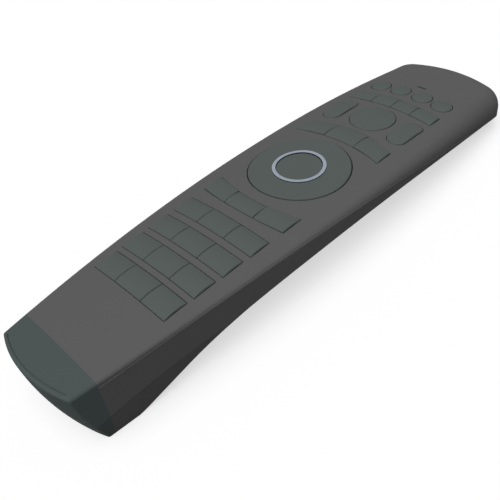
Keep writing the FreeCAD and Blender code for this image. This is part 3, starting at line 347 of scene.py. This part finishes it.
@dataclass(frozen=True)
class Metal:
    """Plated or drawn metal with fine turning marks and a few dull spots.

    Each wear is how far its pattern moves the roughness. A spot is spot_marks marks wide.
    """

    name: str
    colour: Colour
    roughness: float = 0.22
    mark: float = 0.12 * MM
    mark_detail: float = 1.0
    depth_share: float = 0.01
    mark_wear: float = 0.08
    spot_marks: float = 12.0
    spot_edges: Pair = (0.45, 0.75)
    spot_wear: float = 0.06
    dull: float = 0.88

    def make(self) -> bpy.types.Material:
        """Build the material.

        Returns:
            The material, for a CAD node or a new piece.
        """
        shader = Shader(self.name)
        marks = shader.noise(self.mark, self.mark_detail)
        spots = shader.noise(self.mark * self.spot_marks)
        spotted = shader.mix(spots.between(*self.spot_edges), self.colour,
                             scaled(self.colour, self.dull))
        smoothest = self.roughness - (self.mark_wear + self.spot_wear) * NOISE_MEAN
        shader.set(Base_Color=spotted, Metallic=1.0,
                   Roughness=marks * self.mark_wear + spots * self.spot_wear + smoothest)
        shader.bump(marks, self.mark * self.depth_share)
        return shader.material


@dataclass(frozen=True)
class Laminate:
    """Board lacquer over copper runs, with darker weave showing through."""

    name: str
    colour: Colour
    trace: Colour
    roughness: float = 0.28
    gloss: float = 0.5
    pitch: float = 2.4 * MM
    wander_pitches: float = 8.0
    wander_detail: float = 1.0
    wander_reach: float = 3.0
    run_edges: Pair = (0.26, 0.34)
    break_pitches: float = 5.0
    break_edges: Pair = (0.48, 0.52)
    weave_step: float = 0.7 * MM
    weave_shade: float = 0.8
    trace_wear: float = 0.1
    trace_height: float = 0.03 * MM

    def make(self) -> bpy.types.Material:
        """Build the material.

        Returns:
            The material, for a CAD node or a new piece.
        """
        shader = Shader(self.name)
        x, y, _ = shader.axes()
        wander = shader.noise(self.pitch * self.wander_pitches, self.wander_detail)
        across = (x + wander * self.pitch * self.wander_reach) / self.pitch
        runs = abs(across.math("FRACT") - 0.5).between(*self.run_edges)
        breaks = shader.noise(self.pitch * self.break_pitches, 0.0).between(*self.break_edges)
        mask = runs * breaks
        waves = (x / self.weave_step).math("SINE") * (y / self.weave_step).math("SINE")
        lacquer = shader.mix(waves * 0.5 + 0.5, self.colour, scaled(self.colour, self.weave_shade))
        shader.set(Base_Color=shader.mix(mask, lacquer, self.trace),
                   Roughness=mask * self.trace_wear + self.roughness,
                   Specular_IOR_Level=self.gloss)
        shader.bump(mask, self.trace_height)
        return shader.material


@dataclass(frozen=True)
class Glass:
    """Polished dark resin of a window or lens, with faint haze."""

    name: str
    colour: Colour
    roughness: float = 0.08
    gloss: float = 0.5
    haze: float = 3 * MM
    haze_shade: float = 0.6
    haze_wear: float = 0.06
    depth: float = 0.004 * MM

    def make(self) -> bpy.types.Material:
        """Build the material.

        Returns:
            The material, for a CAD node or a new piece.
        """
        shader = Shader(self.name)
        haze = shader.noise(self.haze)
        deep = scaled(self.colour, self.haze_shade)
        shader.set(Base_Color=shader.mix(haze, deep, self.colour),
                   Roughness=haze * self.haze_wear + self.roughness,
                   Specular_IOR_Level=self.gloss)
        shader.bump(haze, self.depth)
        return shader.material


FINISHES = {
    Slot.CASING: Plastic("casing_plastic", linear(99, 99, 99)),
    Slot.LOWER: Plastic("casing_plastic_lower", linear(99, 99, 99)),
    Slot.CAP: Plastic("end_cap_plastic", linear(83, 92, 91)),
    Slot.KEY: Plastic("key_cap_plastic", linear(92, 99, 97), roughness=0.7, grain=0.25 * MM,
                      depth=0.003 * MM),
    Slot.RING: Metal("plated_ring", linear(150, 159, 170)),
    Slot.INNER: Plastic("inner_plastic", linear(40, 40, 41), roughness=0.45),
    Slot.MAT: Plastic("silicone_mat", linear(146, 148, 146), roughness=0.7, grain=0.5 * MM),
    Slot.BOARD: Laminate("board_lacquer", linear(24, 84, 44), linear(60, 128, 70)),
    Slot.CHIP: Plastic("chip_package", linear(26, 26, 27), roughness=0.5),
    Slot.RESIN: Glass("emitter_resin", linear(62, 52, 74)),
    Slot.SLEEVE: Glass("cell_sleeve", linear(52, 54, 58), roughness=0.25),
    Slot.CONTACT: Metal("contact_steel", linear(200, 199, 194), roughness=0.3),
    Slot.SCREW: Metal("screw_steel", linear(92, 92, 94), roughness=0.35),
    Slot.WINDOW: Glass("infrared_window", linear(38, 18, 22)),
    Slot.LENS: Glass("indicator_lens_resin", linear(68, 60, 60), roughness=0.6, gloss=0.05),
}


class Wardrobe:
    """Makes each finish once and puts it on pieces."""

    def __init__(self) -> None:
        """Start with no material made."""
        self.made: dict[Slot, bpy.types.Material] = {}

    def material(self, slot: Slot) -> bpy.types.Material:
        """Material of a slot, made at its first use.

        Args:
            slot: The slot.

        Returns:
            Its material.
        """
        if slot not in self.made:
            self.made[slot] = FINISHES[slot].make()
        return self.made[slot]

    def dress(self, piece: bpy.types.Object, slot: Slot) -> None:
        """Give every material slot of a piece the finish.

        Args:
            piece: A CAD node or a new piece.
            slot: The record's slot that names the finish.
        """
        if not piece.material_slots:
            piece.data.materials.append(None)
        for place in piece.material_slots:
            place.material = self.material(slot)


@dataclass
class Studio:
    """Pale floor, soft lamp from above, even surroundings and the camera.

    The floor and the surroundings show brighter than they light: the remote gets only
    floor_bounce and sky of them.
    """

    sky: float = 0.11
    sun_strength: float = 2.5
    sun_spread: float = 60.0
    sun_turn: Triple = (20.0, 10.0, 0.0)
    floor_size: float = 8.0
    floor_colour: Colour = (0.45, 0.45, 0.45)
    floor_glow: Colour = (0.62, 0.62, 0.62)
    floor_bounce: Colour = (0.17, 0.17, 0.17)
    floor_roughness: float = 0.9
    eye: Triple = (0.1309865, -0.1161823, 0.1584720)
    eye_turn: Triple = (46.34082, 8.34673, 45.78775)
    lens: float = 47.502
    sensor: float = 36.0
    nearest: float = 10 * MM

    def build(self) -> None:
        """Make the stage."""
        self.floor()
        self.surroundings()
        self.lamp()
        self.camera()
        bpy.context.scene.view_settings.view_transform = "Standard"

    def floor(self) -> None:
        """A plane under the remote that shows pale and bounces little light."""
        form = bmesh.new()
        bmesh.ops.create_grid(form, x_segments=1, y_segments=1, size=self.floor_size / 2)
        mesh = bpy.data.meshes.new("studio_floor")
        form.to_mesh(mesh)
        form.free()
        floor = bpy.data.objects.new("studio_floor", mesh)
        floor.location.z = CAD_BOX[0].z
        bpy.context.scene.collection.objects.link(floor)
        shader = Shader("floor_paper")
        seen = self.seen_directly(shader)
        shader.set(Base_Color=shader.mix(seen, self.floor_bounce, self.floor_colour),
                   Roughness=self.floor_roughness, Specular_IOR_Level=0.0,
                   Emission_Color=shader.mix(seen, BLACK, self.floor_glow),
                   Emission_Strength=1.0)
        mesh.materials.append(shader.material)

    @staticmethod
    def seen_directly(tree: Tree) -> Value:
        """Tell rays from the camera, a mirror or glass from scattered light.

        Args:
            tree: The tree that asks.

        Returns:
            1 for the former, and 0 for scattered light.
        """
        path = tree.node("ShaderNodeLightPath")
        names = ("Is Camera Ray", "Is Glossy Ray", "Is Transmission Ray")
        camera, glossy, through = (tree.out(path, name) for name in names)
        return camera.math("MAXIMUM", glossy).math("MAXIMUM", through)

    def surroundings(self) -> None:
        """World that looks white and lights evenly at a lower level."""
        world = bpy.data.worlds.new("studio_world")
        world.use_nodes = True
        bpy.context.scene.world = world
        tree = Tree(world.node_tree)
        seen = self.seen_directly(tree)
        inputs = {"Color": WHITE, "Strength": seen * (1.0 - self.sky) + self.sky}
        background = tree.node("ShaderNodeBackground", inputs=inputs)
        tree.node("ShaderNodeOutputWorld", inputs={"Surface": tree.out(background)})

    def lamp(self) -> None:
        """Soft even light from above the near right side, like a large panel."""
        light = bpy.data.lights.new("overhead_light", "SUN")
        light.energy = self.sun_strength
        light.angle = math.radians(self.sun_spread)
        lamp = bpy.data.objects.new("overhead_light", light)
        lamp.rotation_euler = [math.radians(turn) for turn in self.sun_turn]
        bpy.context.scene.collection.objects.link(lamp)

    def camera(self) -> None:
        """Camera at the photograph's place."""
        data = bpy.data.cameras.new("view")
        data.lens = self.lens
        data.sensor_width = self.sensor
        data.clip_start = self.nearest
        camera = bpy.data.objects.new("view", data)
        camera.location = self.eye
        camera.rotation_euler = [math.radians(turn) for turn in self.eye_turn]
        bpy.context.scene.collection.objects.link(camera)
        bpy.context.scene.camera = camera


def turned(axis: str, degrees: float) -> Matrix:
    """Turn about an axis through the origin."""
    return Matrix.Rotation(math.radians(degrees), 4, axis)


def standing(origin: Vector, out: Vector, along: Vector) -> Matrix:
    """Frame at a point of a surface.

    Args:
        origin: The point.
        out: Direction out of the surface, which the frame's X follows.
        along: Direction that the frame's Y is nearest to.

    Returns:
        The frame.
    """
    first = out.normalized()
    second = (along - first * along.dot(first)).normalized()
    turn = Matrix((first, second, first.cross(second))).transposed()
    return Matrix.Translation(origin) @ turn.to_4x4()


def circle(radius: float, steps: int = ROUND_STEPS) -> list[Pair]:
    """Points of a circle in turning order."""
    turns = [FULL_TURN * step / steps for step in range(steps)]
    return [(radius * math.cos(turn), radius * math.sin(turn)) for turn in turns]


def level_ring(form: Form, place: Matrix, points: Sequence[Pair], height: float) -> Ring:
    """Add points that lie at one height of a frame."""
    return [form.verts.new(place @ Vector((x, y, height))) for x, y in points]


def join_rings(form: Form, first: Ring, second: Ring) -> None:
    """Skin the strip between two closed rings.

    Args:
        form: The mesh that grows.
        first: One ring of points.
        second: The other ring, with as many points.
    """
    count = len(first)
    for index in range(count):
        after = (index + 1) % count
        form.faces.new((first[index], first[after], second[after], second[index]))


def sweep(form: Form, path: Sequence[Matrix], profile: Sequence[Pair],
          shares: Sequence[float] | None = None) -> None:
    """Add a closed bar whose profile follows a path.

    Args:
        form: The mesh that grows.
        path: One frame per station: its X goes out of the surface, its Y along the profile.
        profile: The bar's outline in metres, as pairs of X and Y.
        shares: Share of the profile's height at each station, or all of it.
    """
    rings = [[form.verts.new(station @ Vector((out * share, along, 0))) for out, along in profile]
             for station, share in zip(path, shares or [1.0] * len(path))]
    for first, second in zip(rings, rings[1:]):
        join_rings(form, first, second)
    form.faces.new(rings[0])
    form.faces.new(list(reversed(rings[-1])))


def lathe(form: Form, place: Matrix, outline: Sequence[Pair]) -> None:
    """Add a closed turned form.

    Args:
        form: The mesh that grows.
        place: The frame whose Z is the axis.
        outline: Pairs of radius and height, from the axis at one end to the axis at the other.
    """
    first = form.verts.new(place @ Vector((0, 0, outline[0][1])))
    last = form.verts.new(place @ Vector((0, 0, outline[-1][1])))
    rings = [level_ring(form, place, circle(radius), height) for radius, height in outline[1:-1]]
    for step in range(ROUND_STEPS):
        after = (step + 1) % ROUND_STEPS
        form.faces.new((first, rings[0][after], rings[0][step]))
        form.faces.new((last, rings[-1][step], rings[-1][after]))
    for low, high in zip(rings, rings[1:]):
        join_rings(form, low, high)


def bar(form: Form, place: Matrix, points: Sequence[Pair], width: float, thick: float) -> None:
    """Add a bent flat bar.

    Args:
        form: The mesh that grows.
        place: Frame whose X and Z hold the points.
        points: The bar's middle line as pairs of X and Z.
        width: Its size along Y.
        thick: Its size across the line.
    """
    path = []
    for index, (x, z) in enumerate(points):
        back, ahead = points[max(index - 1, 0)], points[min(index + 1, len(points) - 1)]
        across = Vector((back[1] - ahead[1], 0, ahead[0] - back[0]))
        path.append(place @ standing(Vector((x, 0, z)), across, Y_AXIS))
    half, side = thick / 2, width / 2
    sweep(form, path, [(-half, -side), (half, -side), (half, side), (-half, side)])


@dataclass(frozen=True)
class Drawing:
    """The drawing's frame, in which the remote lies with its key face level."""

    pitch: float = -2.7
    shift_y: float = 7.12463 * MM
    shift_z: float = 24.3985 * MM

    def at(self, x: float, y: float, z: float, tilt: float = 0.0) -> Matrix:
        """Frame at a place of the drawing, turned by tilt degrees about its X."""
        laid = Matrix.Translation((0, self.shift_y, self.shift_z)) @ turned("X", self.pitch)
        return laid @ Matrix.Translation((x, y, z)) @ turned("X", tilt)


@dataclass(frozen=True)
class Bay:
    """The two cells side by side, which slope against the drawing."""

    half_pitch: float = 5.6 * MM
    far_y: float = -55.4 * MM
    axis_z: float = -12.85 * MM
    tilt: float = 7.0
    cell_length: float = 44.5 * MM

    def far_end(self, side: int) -> Matrix:
        """Frame at the far end of one side's cell, whose Y is the cell's axis."""
        return DRAWING.at(side * self.half_pitch, self.far_y, self.axis_z, self.tilt)


DRAWING = Drawing()
BAY = Bay()


class Feeler:
    """Finds points on a CAD node by casting rays at its mesh."""

    def __init__(self, name: str) -> None:
        """Gather the node's mesh.

        Args:
            name: The node.
        """
        form = bmesh.new()
        form.from_mesh(frame["nodes"][name].data)
        self.tree = BVHTree.FromBMesh(form)
        form.free()

    def touch(self, start: Vector, toward: Vector) -> tuple[Vector, Vector] | None:
        """First point that a ray meets, with the surface's normal there, or None."""
        point, normal, _, _ = self.tree.ray_cast(start, toward)
        return None if point is None else (point, normal)


@dataclass
class SubAssembly:
    """Pieces that are made together, dressed from one wardrobe."""

    wardrobe: Wardrobe

    def finish(self, name: str, form: Form, body: str, slot: Slot,
               smooth: float = 35.0) -> bpy.types.Object:
        """Turn a form into a dressed piece that rides on a CAD body.

        Args:
            name: The piece's name.
            form: Its mesh, which is freed.
            body: The CAD body that carries it.
            slot: The slot of its finish.
            smooth: Edges flatter than this angle are shaded smooth.

        Returns:
            The new piece.
        """
        bmesh.ops.recalc_face_normals(form, faces=form.faces)
        mesh = bpy.data.meshes.new(name)
        form.to_mesh(mesh)
        form.free()
        mesh.shade_smooth()
        mesh.set_sharp_from_angle(angle=math.radians(smooth))
        piece = bpy.data.objects.new(name, mesh)
        bpy.context.scene.collection.objects.link(piece)
        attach(piece, body)
        self.wardrobe.dress(piece, slot)
        LOG.info("%s rides on %s", name, body)
        return piece


class Carried(SubAssembly):
    """CAD nodes that show as they are, with their finishes."""

    def build(self) -> None:
        """Give each CAD node the finish of its slot in the record."""
        slots = {part["node"]: Slot(part["material_slot"]) for part in frame["record"]["subparts"]}
        for name, piece in sorted(frame["nodes"].items()):
            self.wardrobe.dress(piece, slots[name])
            LOG.info("%s wears %s", name, slots[name].value)


@dataclass
class PartingLip(SubAssembly):
    """Fine raised lip that the lower shell carries under the parting line, on both sides."""

    near_y: float = -90.0 * MM
    far_y: float = 72.0 * MM
    fade: float = 10.0 * MM
    end_share: float = 0.15
    step: float = 1.5 * MM
    centre_y: float = -53.652 * MM
    centre_z: float = -606.289 * MM
    radius: float = 630.0 * MM
    drop: float = 0.66 * MM
    half_width: float = 0.29 * MM
    height: float = 0.12 * MM
    root: float = 0.06 * MM
    # Shares of the height and the half width: a long slope that faces up, a rounded crest
    # and a short underside.
    crest: tuple[Pair, ...] = ((0.0, 0.93), (0.45, 0.1), (0.92, -0.72), (1.0, -0.86), (0.8, -1.0))

    def build(self) -> None:
        """Make the two lips as one piece."""
        wall = Feeler("lower_shell")
        form = bmesh.new()
        for side in SIDES:
            self.run(form, wall, side)
        self.finish("parting_lip", form, "casing", Slot.LOWER)

    def run(self, form: Form, wall: Feeler, side: int) -> None:
        """Add the lip of one side.

        Args:
            form: The mesh that grows.
            wall: The lower shell.
            side: The side, as the sign of X.
        """
        outside = side * CAD_BOX[1].x * 2
        count = round((self.far_y - self.near_y) / self.step)
        path, shares = [], []
        for index in range(count + 1):
            y = self.near_y + (self.far_y - self.near_y) * index / count
            rise = math.sqrt(self.radius ** 2 - (y - self.centre_y) ** 2)
            start = Vector((outside, y, self.centre_z + rise - self.drop))
            met = wall.touch(start, Vector((-side, 0, 0)))
            if met is None:
                continue
            point, normal = met
            up = Vector((0, y - self.centre_y, rise))
            path.append(standing(point, Vector((normal.x, normal.y, 0)), up))
            shares.append(min(1.0, (self.far_y - y) / self.fade + self.end_share))
        profile = [(-self.root, self.half_width),
                   *((out * self.height, up * self.half_width) for out, up in self.crest),
                   (-self.root, -self.half_width)]
        sweep(form, path, profile, shares)


@dataclass
class KeyWebs(SubAssembly):
    """Thin ribs of the casing that stand in the gaps between the keys of a row.

    A rib's crest is sunk below the two keys. They are felt a little beside the gap, where
    their faces are level.
    """

    width: float = 0.12 * MM
    depth: float = 0.9 * MM
    sunk: float = 0.34 * MM
    feel: float = 0.75 * MM
    level: float = 0.9
    step: float = 0.5 * MM
    pad_split: float = 6.3 * MM
    arc_split: float = 6.6 * MM
    far_split: float = 8.72 * MM

    def rows(self) -> list[tuple[list[str], list[float]]]:
        """List the rows of keys that have ribs.

        Returns:
            Each row's keys from left to right, with the places of the gaps between them.
        """
        sides, numbers = ("left", "middle", "right"), (1, 2, 3, 4)
        rows = [([f"key_row{number}_{side}" for side in sides], [-self.pad_split, self.pad_split])
                for number in numbers]
        rows += [([f"{arc}_arc_key_{side}" for side in sides], [-self.arc_split, self.arc_split])
                 for arc in ("lower", "upper")]
        rows.append(([f"far_row_key_{number}" for number in numbers],
                     [-self.far_split, 0.0, self.far_split]))
        return rows

    def build(self) -> None:
        """Make the ribs of all rows as one piece."""
        form = bmesh.new()
        half, chamfer = self.width / 2, self.width / 4
        profile = [(-self.depth, -half), (-chamfer, -half), (0.0, -half + chamfer),
                   (0.0, half - chamfer), (-chamfer, half), (-self.depth, half)]
        for names, gaps in self.rows():
            for left, right, x in zip(names, names[1:], gaps):
                sweep(form, self.between(left, right, x), profile)
        self.finish("key_webs", form, "casing", Slot.KEY)

    def between(self, left: str, right: str, x: float) -> list[Matrix]:
        """Stations along the gap between two keys.

        Args:
            left: The key on the left.
            right: The key on the right.
            x: Where the gap is.

        Returns:
            Frames at the rib's crest, wherever both keys are felt.
        """
        feelers = (Feeler(left), x - self.feel), (Feeler(right), x + self.feel)
        low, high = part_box(left)
        path = []
        for index in range(int((high.y - low.y) / self.step)):
            y = low.y + index * self.step
            met = [key.touch(Vector((beside, y, high.z + self.depth)), DOWN)
                   for key, beside in feelers]
            if all(met) and all(normal.z > self.level for _, normal in met):
                crest = min(point.z for point, _ in met) - self.sunk
                path.append(standing(Vector((x, y, crest)), Z_AXIS, X_AXIS))
        return path


@dataclass
class Screws(SubAssembly):
    """Case screws with rounded heads and a cross recess, seen from below."""

    places: tuple[Pair, ...] = ((20.2 * MM, -30.0 * MM), (20.9 * MM, 60.0 * MM))
    seat_z: float = -9.6 * MM
    head_radius: float = 1.8 * MM
    head_height: float = 1.3 * MM
    rim: float = 0.35 * MM
    rim_steps: int = 3
    shank_radius: float = 0.9 * MM
    shank_length: float = 4.8 * MM
    tip_share: float = 0.6
    thread_pitch: float = 0.7 * MM
    thread_depth: float = 0.12 * MM
    recess_half: float = 1.0 * MM
    recess_arm: float = 0.24 * MM
    recess_depth: float = 0.75 * MM
    recess_share: float = 0.7
    smooth: float = 30.0

    def build(self) -> None:
        """Make the four screws as the piece that stands for the CAD ones."""
        form = bmesh.new()
        for x, y in self.places:
            for side in SIDES:
                self.screw(form, DRAWING.at(side * x, y, self.seat_z))
        piece = self.finish("cross_head_screws", form, "casing", Slot.SCREW, self.smooth)
        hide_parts("housing_screws")

    def outline(self) -> list[Pair]:
        """Line of a screw from the edge of its head's face to the end of its shank.

        Returns:
            Pairs of radius and height above the head's seat.
        """
        outline = []
        for step in range(self.rim_steps + 1):
            turn = math.pi / 2 * step / self.rim_steps
            outline.append((self.head_radius - self.rim * (1 - math.sin(turn)),
                            -self.head_height + self.rim * (1 - math.cos(turn))))
        outline += [(self.head_radius, 0.0), (self.shank_radius, 0.0)]
        count = round(self.shank_length / self.thread_pitch * 2)
        for index in range(1, count):
            inner = self.thread_depth if index % 2 else 0.0
            outline.append((self.shank_radius - inner, self.shank_length * index / count))
        return [*outline, (self.shank_radius * self.tip_share, self.shank_length)]

    def screw(self, form: Form, place: Matrix) -> None:
        """Add one screw.

        Args:
            form: The mesh that grows.
            place: The frame at its head's seat, whose Z its shank follows.
        """
        rings = [level_ring(form, place, circle(radius), height)
                 for radius, height in self.outline()]
        for low, high in zip(rings, rings[1:]):
            join_rings(form, low, high)
        form.faces.new(rings[-1])
        self.recess(form, place, rings[0])

    def recess(self, form: Form, place: Matrix, rim: Ring) -> None:
        """Close the head with a cross-shaped pocket that narrows inwards.

        Args:
            form: The mesh that grows.
            place: The screw's frame.
            rim: The open ring at the head's face.
        """
        half, arm, share = self.recess_half, self.recess_arm, self.recess_share
        quarter = [(arm, arm), (arm, half), (-arm, half)]
        cross = [(x * cos - y * sin, x * sin + y * cos)
                 for cos, sin in ((1, 0), (0, 1), (-1, 0), (0, -1)) for x, y in quarter]
        top = level_ring(form, place, cross, -self.head_height)
        floor = level_ring(form, place, [(x * share, y * share) for x, y in cross],
                           self.recess_depth - self.head_height)
        join_rings(form, top, floor)
        form.faces.new(floor)
        edges = [form.edges.get(pair) or form.edges.new(pair)
                 for loop in (rim, top) for pair in zip(loop, loop[1:] + loop[:1])]
        bmesh.ops.triangle_fill(form, edges=edges, use_beauty=True)


@dataclass
class Springs(SubAssembly):
    """Wound conical springs at the far ends of the cells."""

    length: float = 2.0 * MM
    small: float = 1.55 * MM
    large: float = 3.3 * MM
    wire: float = 0.2 * MM
    turns: float = 3.5
    flat_share: float = 0.12
    steps: int = 168
    sides: int = 10
    smooth: float = 60.0

    def build(self) -> None:
        """Make both springs as the piece that stands for the CAD cones."""
        form = bmesh.new()
        for side in SIDES:
            self.wind(form, BAY.far_end(side))
        piece = self.finish("wound_springs", form, "casing", Slot.CONTACT, self.smooth)
        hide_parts("spring_contacts")

    def wind(self, form: Form, place: Matrix) -> None:
        """Add one spring, whose first and last turns lie flat.

        Args:
            form: The mesh that grows.
            place: The frame at its small end, along whose Y it widens.
        """
        path = []
        for step in range(self.steps + 1):
            share = step / self.steps
            rise = (share - self.flat_share) / (1 - 2 * self.flat_share)
            height = self.wire + (self.length - 2 * self.wire) * min(max(rise, 0.0), 1.0)
            angle = FULL_TURN * self.turns * share
            out = Vector((math.cos(angle), 0, math.sin(angle)))
            radius = self.small + (self.large - self.small) * share
            path.append(place @ standing(out * radius + height * Y_AXIS, out, Y_AXIS))
        sweep(form, path, circle(self.wire, self.sides))


@dataclass
class BoardParts(SubAssembly):
    """The chip's leads and the small parts soldered under the board."""

    board_z: float = -7.3 * MM
    chip_y: float = 15.0 * MM
    chip_half: float = 5.0 * MM
    lead_pitch: float = 0.8 * MM
    leads: int = 11
    lead_width: float = 0.3 * MM
    lead_thick: float = 0.14 * MM
    # A lead's line: how far beyond the chip's side and how far from the board.
    lead_line: tuple[Pair, ...] = ((-0.1 * MM, -0.6 * MM), (0.3 * MM, -0.6 * MM),
                                   (0.5 * MM, -0.3 * MM), (0.6 * MM, -0.1 * MM),
                                   (1.1 * MM, -0.08 * MM))
    rows: tuple[float, ...] = (-12.0 * MM, -9.0 * MM, 9.0 * MM, 12.0 * MM)
    row_parts: int = 5
    row_pitch: float = 3.1 * MM
    row_stagger: float = 0.9 * MM
    part_size: Triple = (1.6 * MM, 0.8 * MM, 0.5 * MM)
    # Shares of the part's length, with the share of its height there: thicker at both ends.
    part_stations: tuple[Pair, ...] = ((-0.5, 1.0), (-0.33, 1.0), (-0.29, 0.88),
                                       (0.29, 0.88), (0.33, 1.0), (0.5, 1.0))
    # Shares of the part's height and of half its width.
    part_profile: tuple[Pair, ...] = ((0.0, -1.0), (0.9, -1.0), (1.0, -0.85),
                                      (1.0, 0.85), (0.9, 1.0), (0.0, 1.0))

    def build(self) -> None:
        """Make the chip's leads and the small parts."""
        form = bmesh.new()
        for turn in (0, 90, 180, 270):
            self.chip_side(form, turn)
        self.finish("chip_leads", form, "casing", Slot.CONTACT)
        form = bmesh.new()
        for place in self.part_places():
            self.chip_part(form, place)
        self.finish("board_parts", form, "casing", Slot.CHIP)

    def chip_side(self, form: Form, turn: float) -> None:
        """Add the bent leads of one side of the chip.

        Args:
            form: The mesh that grows.
            turn: The side's place round the chip, in degrees from the right.
        """
        middle = DRAWING.at(0, self.chip_y, self.board_z) @ turned("Z", turn)
        line = [(self.chip_half + beyond, below) for beyond, below in self.lead_line]
        for index in range(self.leads):
            shift = (index - (self.leads - 1) / 2) * self.lead_pitch
            bar(form, middle @ Matrix.Translation((0, shift, 0)), line, self.lead_width,
                self.lead_thick)

    def part_places(self) -> list[Matrix]:
        """Places of the small parts, in short staggered rows beside the chip.

        Returns:
            Frames on the board's underside.
        """
        places = []
        for row, x in enumerate(self.rows):
            for index in range(self.row_parts):
                shift = (index - (self.row_parts - 1) / 2) * self.row_pitch
                y = self.chip_y + shift + (row % 2) * self.row_stagger
                places.append(DRAWING.at(x, y, self.board_z))
        return places

    def chip_part(self, form: Form, place: Matrix) -> None:
        """Add one small part: a body between two thicker end caps.

        Args:
            form: The mesh that grows.
            place: The frame at its middle, whose X it lies along.
        """
        length, width, height = self.part_size
        path = [place @ standing(share * length * X_AXIS, DOWN, Y_AXIS)
                for share, _ in self.part_stations]
        profile = [(out * height, along * width / 2) for out, along in self.part_profile]
        sweep(form, path, profile, [share for _, share in self.part_stations])


class Facing(Enum):
    """Where a form on a cell's axis faces, as the turn about X that its Z gets."""

    FAR_END = -90.0
    NEAR_END = 90.0


@dataclass
class CellEnds(SubAssembly):
    """Metal discs on the cells' ends and the dimples of the bridge that presses on them."""

    disc_radius: float = 4.5 * MM
    nub_radius: float = 1.8 * MM
    dimple_radius: float = 1.3 * MM
    bridge_gap: float = 0.2 * MM
    thick: float = 0.05 * MM
    # Outlines as shares of the radius and of the thickness.
    disc: tuple[Pair, ...] = ((0, -1), (1, -1), (1, 0), (0.97, 1), (0.8, 0.4), (0, 0.4))
    nub: tuple[Pair, ...] = ((0, -1), (1, -1), (1, 0.5), (0.94, 1), (0, 1))
    dimple: tuple[Pair, ...] = ((0, -1), (1, -1), (0.9, 0.7), (0.5, 1.6), (0, 1.9))

    def build(self) -> None:
        """Make the discs, which ride with the cells, and the dimples, which ride with the cap."""
        form = bmesh.new()
        far, near = (0.0, Facing.FAR_END), (-BAY.cell_length, Facing.NEAR_END)
        for side, nub_end, disc_end in zip(SIDES, (far, near), (near, far)):
            self.button(form, side, *nub_end, self.nub_radius, self.nub)
            self.button(form, side, *disc_end, self.disc_radius, self.disc)
        self.finish("cell_ends", form, "casing", Slot.CONTACT)
        form = bmesh.new()
        for side in SIDES:
            self.button(form, side, -BAY.cell_length - self.bridge_gap, Facing.FAR_END,
                        self.dimple_radius, self.dimple)
        self.finish("bridge_dimples", form, "cap", Slot.CONTACT)

    def button(self, form: Form, side: int, along: float, facing: Facing, radius: float,
               outline: Sequence[Pair]) -> None:
        """Add a thin turned form on a cell's axis.

        Args:
            form: The mesh that grows.
            side: The cell's side, as the sign of X.
            along: Its place from the cell's far end.
            facing: Where it faces.
            radius: Its radius.
            outline: Its outline as shares of the radius and of the thickness.
        """
        place = BAY.far_end(side) @ Matrix.Translation((0, along, 0)) @ turned("X", facing.value)
        lathe(form, place, [(share * radius, rise * self.thick) for share, rise in outline])


def main() -> None:
    """Build the looks in order and report the pieces."""
    logging.basicConfig(level=logging.INFO, format="%(name)s: %(message)s")
    wardrobe = Wardrobe()
    Studio().build()
    for part in (Carried, PartingLip, KeyWebs, Screws, Springs, BoardParts, CellEnds):
        part(wardrobe).build()


if __name__ == "__main__":
    main()
